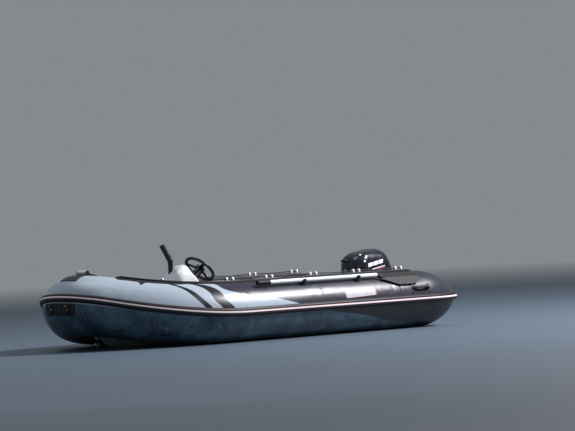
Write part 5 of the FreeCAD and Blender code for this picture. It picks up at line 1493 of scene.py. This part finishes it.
spot, normal = land(console_tree, GAUGE_RAY, (-1, 0, 0))
fit_out(turned_profile("gauge_bezel", RIM_PROFILE, spot, normal, 48), stainless, "stainless")
fit_out(turned_profile("gauge_dial", DIAL_PROFILE, spot, normal, 48), gauge_material(spot), "white_plastic")
needle_way = normal.cross(Vector((0, 1, 0))).normalized()
needle_rings = []
for along, half in NEEDLE:
    centre = spot + normal * 2.6 * MM + (needle_way * 0.75 + Vector((0, 0.66, 0))) * along * MM
    sideways = (needle_way * 0.66 - Vector((0, 0.75, 0))) * half * MM
    corners = (centre + sideways, centre + normal * 0.8 * MM, centre - sideways, centre - normal * 0.3 * MM)
    needle_rings.append(np.array([tuple(corner) for corner in corners]))
fit_out(swept("gauge_needle", needle_rings, [0, 1, 2]), red_decal, "pale_vinyl")

# %% [markdown]
# ## The seat cushion, by cloth simulation
# A slightly small block is remeshed into even little faces, then blown up like a bag while its
# underside and its sewn channels are held. The swelling between held rows is what padding does.
# No point may move further than a cap.

# %% Swelling the cushion
cushion_low, cushion_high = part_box("seat_cushion")
cushion_middle = (cushion_low + cushion_high) / 2
CUSHION_CORNER = 45 * MM
SWELL_SIDE = 5 * MM
SWELL_TOP = 9 * MM
SWELL_CAP = 9 * MM
PAD_VOXEL = 6 * MM
SIMULATION_FRAMES = 20
CHANNEL_SHARES = (0.27, 0.5, 0.73)
CHANNEL_DEPTH, CHANNEL_HALF = 2.2 * MM, 3.5 * MM
PRESSURE = 4.0
PIPING_DROPS = (17 * MM, 66 * MM)
PIPING_RADIUS, PIPING_STEP = 2.6 * MM, 12 * MM
PIPING_AWAY = 20 * MM


def rounded_outline(half_length, half_width, corner, steps=10):
    """Points round a rounded rectangle about the origin."""
    points = []
    for quarter, (side_x, side_y) in enumerate(((1, 1), (-1, 1), (-1, -1), (1, -1))):
        for k in range(steps + 1):
            angle = math.pi / 2 * (quarter + k / steps)
            points.append((side_x * (half_length - corner) + corner * math.cos(angle),
                           side_y * (half_width - corner) + corner * math.sin(angle)))
    return points


def pad_start():
    """The pad before it swells: a block with soft shoulders, a little small."""
    half_length = (cushion_high.x - cushion_low.x) / 2 - SWELL_SIDE
    half_width = (cushion_high.y - cushion_low.y) / 2 - SWELL_SIDE
    top = cushion_high.z - SWELL_TOP
    build = bmesh.new()
    rings = []
    bottom = cushion_low.z
    for inset, z in ((6 * MM, bottom), (1 * MM, bottom + 4 * MM), (0, bottom + 12 * MM),
                     (0, top - 14 * MM), (2 * MM, top - 6 * MM), (9 * MM, top)):
        corner = CUSHION_CORNER - SWELL_SIDE - inset
        outline = rounded_outline(half_length - inset, half_width - inset, corner)
        rings.append([build.verts.new((cushion_middle.x + x, cushion_middle.y + y, z)) for x, y in outline])
    for low, high in zip(rings, rings[1:]):
        for k in range(len(low)):
            after = (k + 1) % len(low)
            build.faces.new((low[k], low[after], high[after], high[k]))
    build.faces.new(rings[0][::-1])
    build.faces.new(rings[-1])
    mesh = bpy.data.meshes.new("cushion_start")
    build.to_mesh(mesh)
    build.free()
    return place_piece("seat_cushion_pad", mesh)


def bake(piece, kind, **settings):
    """Add one modifier, apply its result to the mesh and take the modifier away."""
    modifier = piece.modifiers.new(kind.lower(), kind)
    for key, value in settings.items():
        setattr(modifier, key, value)
    bpy.context.view_layer.update()
    shape = evaluated_mesh(piece)
    piece.modifiers.remove(modifier)
    piece.data = shape


def swell(piece, held, pressure, cap):
    """Blow the pad up with its held points pinned, capped, and applied to the mesh."""
    group = piece.vertex_groups.new(name="held")
    group.add(held, 1.0, "REPLACE")
    cloth = piece.modifiers.new("cloth", "CLOTH")
    cloth.settings.use_pressure = True
    cloth.settings.uniform_pressure_force = pressure
    cloth.settings.effector_weights.gravity = 0
    cloth.settings.vertex_group_mass = "held"
    cloth.point_cache.frame_start = 1
    cloth.point_cache.frame_end = SIMULATION_FRAMES
    for frame_number in range(1, SIMULATION_FRAMES + 1):
        scene.frame_set(frame_number)
    swollen = evaluated_mesh(piece)
    piece.modifiers.remove(cloth)
    piece.vertex_groups.remove(group)
    scene.frame_set(1)
    furthest = 0.0
    for start, end in zip(piece.data.vertices, swollen.vertices):
        move = end.co - start.co
        furthest = max(furthest, move.length)
        if move.length > cap:
            move = move.normalized() * cap
        start.co = start.co + move
    print("the cushion swelled by", round(furthest * 1000, 1), "mm, capped at", round(cap * 1000, 1))


cushion = pad_start()
bake(cushion, "REMESH", mode="VOXEL", voxel_size=PAD_VOXEL)
pad_length = cushion_high.x - cushion_low.x
channel_lines = [cushion_low.x + pad_length * share for share in CHANNEL_SHARES]
held = []
for vertex in cushion.data.vertices:
    on_channel = min(abs(vertex.co.x - line) for line in channel_lines) < PAD_VOXEL * 0.55
    high_up = vertex.co.z > cushion_high.z - SWELL_TOP - 5 * MM
    if vertex.co.z < cushion_low.z + 8 * MM or (on_channel and high_up):
        held.append(vertex.index)
swell(cushion, held, PRESSURE, SWELL_CAP)
bake(cushion, "SUBSURF", levels=1)
for vertex in cushion.data.vertices:
    near = min(abs(vertex.co.x - line) for line in channel_lines)
    if vertex.co.z > cushion_high.z - SWELL_TOP - 8 * MM:
        vertex.co.z -= CHANNEL_DEPTH * math.exp(-((near / CHANNEL_HALF) ** 2))
for face in cushion.data.polygons:
    face.use_smooth = True


def vinyl_material(name, colour, worn):
    """Grained upholstery vinyl with faint creases and paler wear on the high places."""
    material, tree, shader = new_material(name, roughness=0.42, colour=colour, ior=1.5)
    where = spot_on_object(tree)
    cells = add(tree, "ShaderNodeTexVoronoi", Vector=where, Scale=420.0).outputs["Distance"]
    creases = noise(tree, stretched(tree, where, (12.0, 30.0, 30.0)), 3.0, 6.0, 0.7)
    soil = ramp(tree, noise(tree, where, 7.0, 5.0, 0.6), 0.45, 0.75)
    feed(shader, "Base Color", blend_colours(tree, times(tree, soil, 0.5), colour, worn))
    feed(shader, "Roughness", ramp(tree, soil, 0.0, 1.0, 0.38, 0.52))
    bump(tree, shader, plus(tree, cells, times(tree, creases, 1.5)), 0.25, 0.5 * MM)
    return material


seat_vinyl = vinyl_material("upholstery_vinyl", "#6d737a", "#565a5f")
piping_vinyl = vinyl_material("piping_vinyl", "#30333a", "#4a4d54")
fit_out(cushion, seat_vinyl, "seat_vinyl", "boat", "seat_cushion")

pad_build = bmesh.new()
pad_build.from_mesh(cushion.data)
pad_tree = BVHTree.FromBMesh(pad_build)
pad_build.free()


def piping(drop, radius):
    """Rings for a cord of piping round the pad, laid where the pad's own side is."""
    half_length = (cushion_high.x - cushion_low.x) / 2 + PIPING_AWAY
    half_width = (cushion_high.y - cushion_low.y) / 2 + PIPING_AWAY
    outline = rounded_outline(half_length, half_width, CUSHION_CORNER + PIPING_AWAY, 14)
    spots = []
    for (x, y), (next_x, next_y) in zip(outline, outline[1:] + outline[:1]):
        count = max(1, round(math.hypot(next_x - x, next_y - y) / PIPING_STEP))
        for k in range(count):
            share = k / count
            out_x, out_y = x + (next_x - x) * share, y + (next_y - y) * share
            inward_x = -out_x if abs(out_x) > half_length - 0.07 else 0
            inward_y = -out_y if abs(out_y) > half_width - 0.07 else 0
            start = Vector((cushion_middle.x + out_x, cushion_middle.y + out_y, cushion_high.z - drop))
            spot, normal = land(pad_tree, start, Vector((inward_x, inward_y, 0)))
            spots.append(spot + normal * radius * 0.25)
    rings = []
    for k, spot in enumerate(spots):
        along = (spots[(k + 1) % len(spots)] - spots[k - 1]).normalized()
        out = along.cross(Vector((0, 0, 1))).normalized()
        rings.append(round_ring(spot, out, out.cross(along), radius, 8))
    return rings + rings[:1]


for name, drop in zip(("cushion_piping_upper", "cushion_piping_lower"), PIPING_DROPS):
    rings = piping(drop, PIPING_RADIUS)
    fit_out(swept(name, rings, list(range(len(rings)))), piping_vinyl, "seat_vinyl")

# %% [markdown]
# ## Screws by Geometry Nodes
# Rays find where each screw sits. A small node tree then stands one screw head on every point,
# turned to the surface, and makes the recess in the head by pushing a face down.

# %% Screw heads
SCREW_RAISE = 0.6 * MM
FOOT_SCREW_Z = 0.120


def input_socket(tree, name, kind, value):
    """A value that the node group asks for, with its default."""
    socket = tree.interface.new_socket(name=name, in_out="INPUT", socket_type=kind)
    if kind != "NodeSocketGeometry":
        socket.default_value = value
    return socket


def screw_tree(material):
    """Points in, screw heads out. Each point's way attribute is the head's axis."""
    tree = bpy.data.node_groups.new("screw_heads", "GeometryNodeTree")
    input_socket(tree, "Points", "NodeSocketGeometry", None)
    input_socket(tree, "Head radius", "NodeSocketFloat", 5 * MM)
    input_socket(tree, "Head height", "NodeSocketFloat", 2.4 * MM)
    input_socket(tree, "Socket share", "NodeSocketFloat", 0.5)
    input_socket(tree, "Turn seed", "NodeSocketInt", 7)
    tree.interface.new_socket(name="Screws", in_out="OUTPUT", socket_type="NodeSocketGeometry")
    given = tree.nodes.new("NodeGroupInput")
    radius, height = given.outputs["Head radius"], given.outputs["Head height"]
    body = add(tree, "GeometryNodeMeshCone", Vertices=16, Radius_Top=times(tree, radius, 0.72),
               Radius_Bottom=radius, Depth=height)
    normal = add(tree, "GeometryNodeInputNormal").outputs["Normal"]
    facing = add(tree, "ShaderNodeSeparateXYZ", Vector=normal).outputs["Z"]
    on_top = maths(tree, "GREATER_THAN", facing, 0.9)
    ring = add(tree, "GeometryNodeExtrudeMesh", Mesh=body.outputs["Mesh"], Selection=on_top, Offset_Scale=0.0)
    small = add(tree, "GeometryNodeScaleElements", Geometry=ring.outputs["Mesh"],
                Selection=ring.outputs["Top"], Scale=given.outputs["Socket share"])
    deep = times(tree, height, -0.6)
    head = add(tree, "GeometryNodeExtrudeMesh", Mesh=small.outputs["Geometry"], Selection=ring.outputs["Top"],
               Offset_Scale=deep)
    way = add(tree, "GeometryNodeInputNamedAttribute", {"data_type": "FLOAT_VECTOR"}, Name="way")
    upright = add(tree, "FunctionNodeAlignRotationToVector", {"axis": "Z"}, Vector=way.outputs["Attribute"])
    spin = add(tree, "FunctionNodeRandomValue", {"data_type": "FLOAT"}, Seed=given.outputs["Turn seed"])
    turn = add(tree, "ShaderNodeCombineXYZ", Z=times(tree, spin.outputs[1], 6.283))
    turned = add(tree, "FunctionNodeRotateRotation", {"rotation_space": "LOCAL"},
                 Rotation=upright.outputs["Rotation"], Rotate_By=turn.outputs[0])
    placed = add(tree, "GeometryNodeInstanceOnPoints", Points=given.outputs["Points"],
                 Instance=head.outputs["Mesh"], Rotation=turned.outputs["Rotation"])
    real = add(tree, "GeometryNodeRealizeInstances", Geometry=placed.outputs["Instances"])
    dressed = add(tree, "GeometryNodeSetMaterial", Geometry=real.outputs["Geometry"], Material=material)
    end = tree.nodes.new("NodeGroupOutput")
    tree.links.new(dressed.outputs["Geometry"], end.inputs["Screws"])
    return tree


def screws(name, tree, spots, radius, body="boat"):
    """One mesh with a screw head at each spot and normal."""
    points = bpy.data.meshes.new(name)
    points.from_pydata([tuple(spot + normal * SCREW_RAISE) for spot, normal in spots], [], [])
    ways = points.attributes.new("way", "FLOAT_VECTOR", "POINT")
    for item, (spot, normal) in zip(ways.data, spots):
        item.vector = normal
    piece = place_piece(name, points)
    modifier = piece.modifiers.new("screws", "NODES")
    modifier.node_group = tree
    sockets = [socket for socket in tree.interface.items_tree if socket.in_out == "INPUT"]
    names = {socket.name: socket.identifier for socket in sockets}
    modifier[names["Head radius"]] = radius
    modifier[names["Head height"]] = radius * 0.5
    bpy.context.view_layer.update()
    shape = evaluated_mesh(piece)
    piece.modifiers.remove(modifier)
    piece.data = shape
    print(name, "screws", len(spots), "faces", len(shape.polygons))
    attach(piece, body)
    return piece


steel_screws = screw_tree(stainless)
seat_tree = surface_of("seat_base")
locker_tree = surface_of("bow_locker")
CONSOLE_SCREWS_Y, CONSOLE_SCREWS_X = (-0.075, 0.0, 0.075), (-1.865, -1.80, -1.735)
SEAT_SCREWS_Y, SEAT_SCREWS_X = (-0.10, 0.0, 0.10), (-1.37, -1.20, -1.03, -0.86)
LOCKER_SCREWS_Y = (-0.20, -0.10, 0.0, 0.10, 0.20)


def foot_row(tree, rows, columns, aft, ahead, beside):
    """Screw spots round a foot: in pairs aft and ahead, then in pairs to port and starboard."""
    spots = []
    for y in rows:
        spots.append(land(tree, (aft, y, FOOT_SCREW_Z), (-1, 0, 0)))
        spots.append(land(tree, (ahead, y, FOOT_SCREW_Z), (1, 0, 0)))
    for x in columns:
        for side in (1, -1):
            spots.append(land(tree, (x, -beside * side, FOOT_SCREW_Z), (0, side, 0)))
    return spots


foot_spots = foot_row(console_tree, CONSOLE_SCREWS_Y, CONSOLE_SCREWS_X, -1.45, -2.05, 0.3)
foot_spots += foot_row(seat_tree, SEAT_SCREWS_Y, SEAT_SCREWS_X, -0.6, -1.6, 0.4)
foot_spots += [land(locker_tree, (-1.95, y, FOOT_SCREW_Z), (-1, 0, 0)) for y in LOCKER_SCREWS_Y]
screws("furniture_screws", steel_screws, foot_spots, 6 * MM)

BOX_MIDDLE_X, BOX_MIDDLE_Z = -1.79, 0.372
BOX_SCREW_X, BOX_SCREW_Z = 43 * MM, 33 * MM
box_tree = surface_of("throttle_box")
box_spots = [land(box_tree, (BOX_MIDDLE_X + x, 0.4, BOX_MIDDLE_Z + z), (0, -1, 0))
             for x in (-BOX_SCREW_X, BOX_SCREW_X) for z in (-BOX_SCREW_Z, BOX_SCREW_Z)]
screws("throttle_box_screws", steel_screws, box_spots, 3.4 * MM)

DRAIN_Y, DRAIN_Z, DRAIN_SCREW_RADIUS = 0.150, 0.040, 14 * MM
drain_tree = surface_of("drains")
drain_spots = []
for side in (1, -1):
    for k in range(3):
        turn = 2 * math.pi * k / 3 + math.pi / 2
        y = DRAIN_Y * side + DRAIN_SCREW_RADIUS * math.cos(turn)
        z = DRAIN_Z + DRAIN_SCREW_RADIUS * math.sin(turn)
        drain_spots.append(land(drain_tree, (0.1, y, z), (-1, 0, 0)))
screws("drain_screws", steel_screws, drain_spots, 2.6 * MM)

KEEL_SCREW_AFT, KEEL_SCREW_STEP, KEEL_SCREWS = -0.86, 0.095, 9
keel_tree = surface_of("keel_strip")
keel_spots = [land(keel_tree, (KEEL_SCREW_AFT + KEEL_SCREW_STEP * k, 0, -0.4), (0, 0, 1))
              for k in range(KEEL_SCREWS)]
screws("keel_strip_screws", steel_screws, keel_spots, 4 * MM)

transom_tree = surface_of("transom_pads")
pad_spots = []
for start, way in ((0.2, -1), (-0.3, 1)):
    pad_spots += [land(transom_tree, (start, y, z), (way, 0, 0)) for y in (-0.108, 0.108)
                  for z in (0.106, 0.222)]
screws("transom_pad_screws", steel_screws, pad_spots, 4.5 * MM)

# %% [markdown]
# ## Valve caps and the locker's latch
# Small turned parts: a valve cap with a ribbed rim and a middle button, and a ring latch in the lid.

# %% Valve caps and locker latch
VALVE_DISTANCE, VALVE_ANGLE = 1.5, math.radians(150)
VALVE_LIFT = 7 * MM
CAP_PROFILE = [(0, 3.2), (7, 3.1), (8, 1.6), (13, 1.4), (14.5, 3.6), (19, 3.6), (20.5, 2.4), (21, 0.6),
               (21, -2)]
PLATE_PROFILE = [(0, -0.2), (14, 0), (16, 2.2), (26, 2.6), (28, 2), (28.5, -2)]
LATCH_RAY = (-2.125, 0, 0.6)
RING_RADIUS, RING_BAR, RING_RISE, RING_STEPS = 20 * MM, 1.9 * MM, 3.6 * MM, 32
for side, side_name in SIDES:
    way = Vector((0, -math.cos(VALVE_ANGLE) * side, math.sin(VALVE_ANGLE)))
    middle = Vector((-VALVE_DISTANCE, TUBE_MIDDLE.y * side, TUBE_MIDDLE.z))
    place = middle + way * (TUBE_RADIUS + VALVE_LIFT)
    cap = turned_profile("valve_cap_" + side_name, CAP_PROFILE, place, way, 48)
    fit_out(cap, grey_plastic, "white_plastic")

spot, normal = land(surface_of("locker_lid"), LATCH_RAY, (0, 0, -1))
latch_plate = turned_profile("locker_latch_plate", PLATE_PROFILE, spot, normal, 48)
fit_out(latch_plate, stainless, "stainless", "locker_lid")
ring_rows = []
for k in range(RING_STEPS + 1):
    turn = 2 * math.pi * k / RING_STEPS
    outward = Vector((math.cos(turn), math.sin(turn), 0))
    centre = spot + outward * RING_RADIUS + normal * RING_RISE
    ring_rows.append(round_ring(centre, outward, normal, RING_BAR, 10))
latch_ring = swept("locker_latch_ring", ring_rows, list(range(RING_STEPS + 1)))
fit_out(latch_ring, stainless, "stainless", "locker_lid")

# %% [markdown]
# ## Floor, lights and camera
# The boat stands at its waterline on a pale floor. Large lamps give the soft sky of a bright day.

# %% Stage
FLOOR_HALF = 30.0
FADE_START, FADE_END = 11.5, FLOOR_HALF * 0.9
SKY_COLOUR, SKY_STRENGTH = "#dfe6ee", 0.32
# Each lamp: its name, place, width in metres, watts and colour.
LAMPS = [
    ("key_lamp", (4.6, -5.2, 7.4), 2.0, 2000, "#fdfaff"),
    ("top_lamp", (-3.5, 2.0, 7.5), 4.0, 130, "#eef4ff"),
    ("fill_lamp", (-7.5, -6.0, 2.0), 3.0, 9, "#dce8ff"),
]
LAMP_AIM = Vector((-1.2, 0, 0.3))
floor_mesh = bpy.data.meshes.new("pale_floor")
floor_corners = [(x * FLOOR_HALF, y * FLOOR_HALF, 0) for x, y in ((-1, -1), (1, -1), (1, 1), (-1, 1))]
floor_mesh.from_pydata(floor_corners, [], [(0, 1, 2, 3)])
floor = place_piece("pale_floor", floor_mesh)
floor_material, floor_tree, floor_shader = new_material("studio_floor", roughness=0.6, colour="#4a5966")
far_away = vector_step(floor_tree, "LENGTH", spot_on_object(floor_tree)).outputs["Value"]
clear = add(floor_tree, "ShaderNodeBsdfTransparent")
fade = add(floor_tree, "ShaderNodeMixShader", _0=ramp(floor_tree, far_away, FADE_START, FADE_END),
           _1=floor_shader.outputs[0], _2=clear.outputs[0])
floor_tree.links.new(fade.outputs[0], floor_tree.nodes["Material Output"].inputs["Surface"])
floor_mesh.materials.append(floor_material)

world = bpy.data.worlds.new("studio_sky")
scene.world = world
world.use_nodes = True
background = world.node_tree.nodes["Background"]
background.inputs["Color"].default_value = tint(SKY_COLOUR)
background.inputs["Strength"].default_value = SKY_STRENGTH

for name, spot, size, power, colour in LAMPS:
    data = bpy.data.lights.new(name, "AREA")
    data.size = size
    data.energy = power
    data.color = tint(colour)[:3]
    light = place_piece(name, data)
    light.location = spot
    light.rotation_euler = (Vector(spot) - LAMP_AIM).to_track_quat("Z", "Y").to_euler()

level = Matrix((rolled_right, rolled_up, back)).transposed()
to_target = Vector((TARGET_PIXEL[0] - PICTURE_WIDTH / 2, PICTURE_HEIGHT / 2 - TARGET_PIXEL[1], -FOCAL_PIXELS))
aside = to_target.rotation_difference(Vector((0, 0, -1))).to_matrix()
camera_data = bpy.data.cameras.new("camera")
camera_data.sensor_width = SENSOR_WIDTH
camera_data.lens = FOCAL_PIXELS * SENSOR_WIDTH / PICTURE_WIDTH
camera = place_piece("camera", camera_data)
camera.rotation_euler = (level @ aside).to_euler()
camera.location = camera_spot
scene.camera = camera
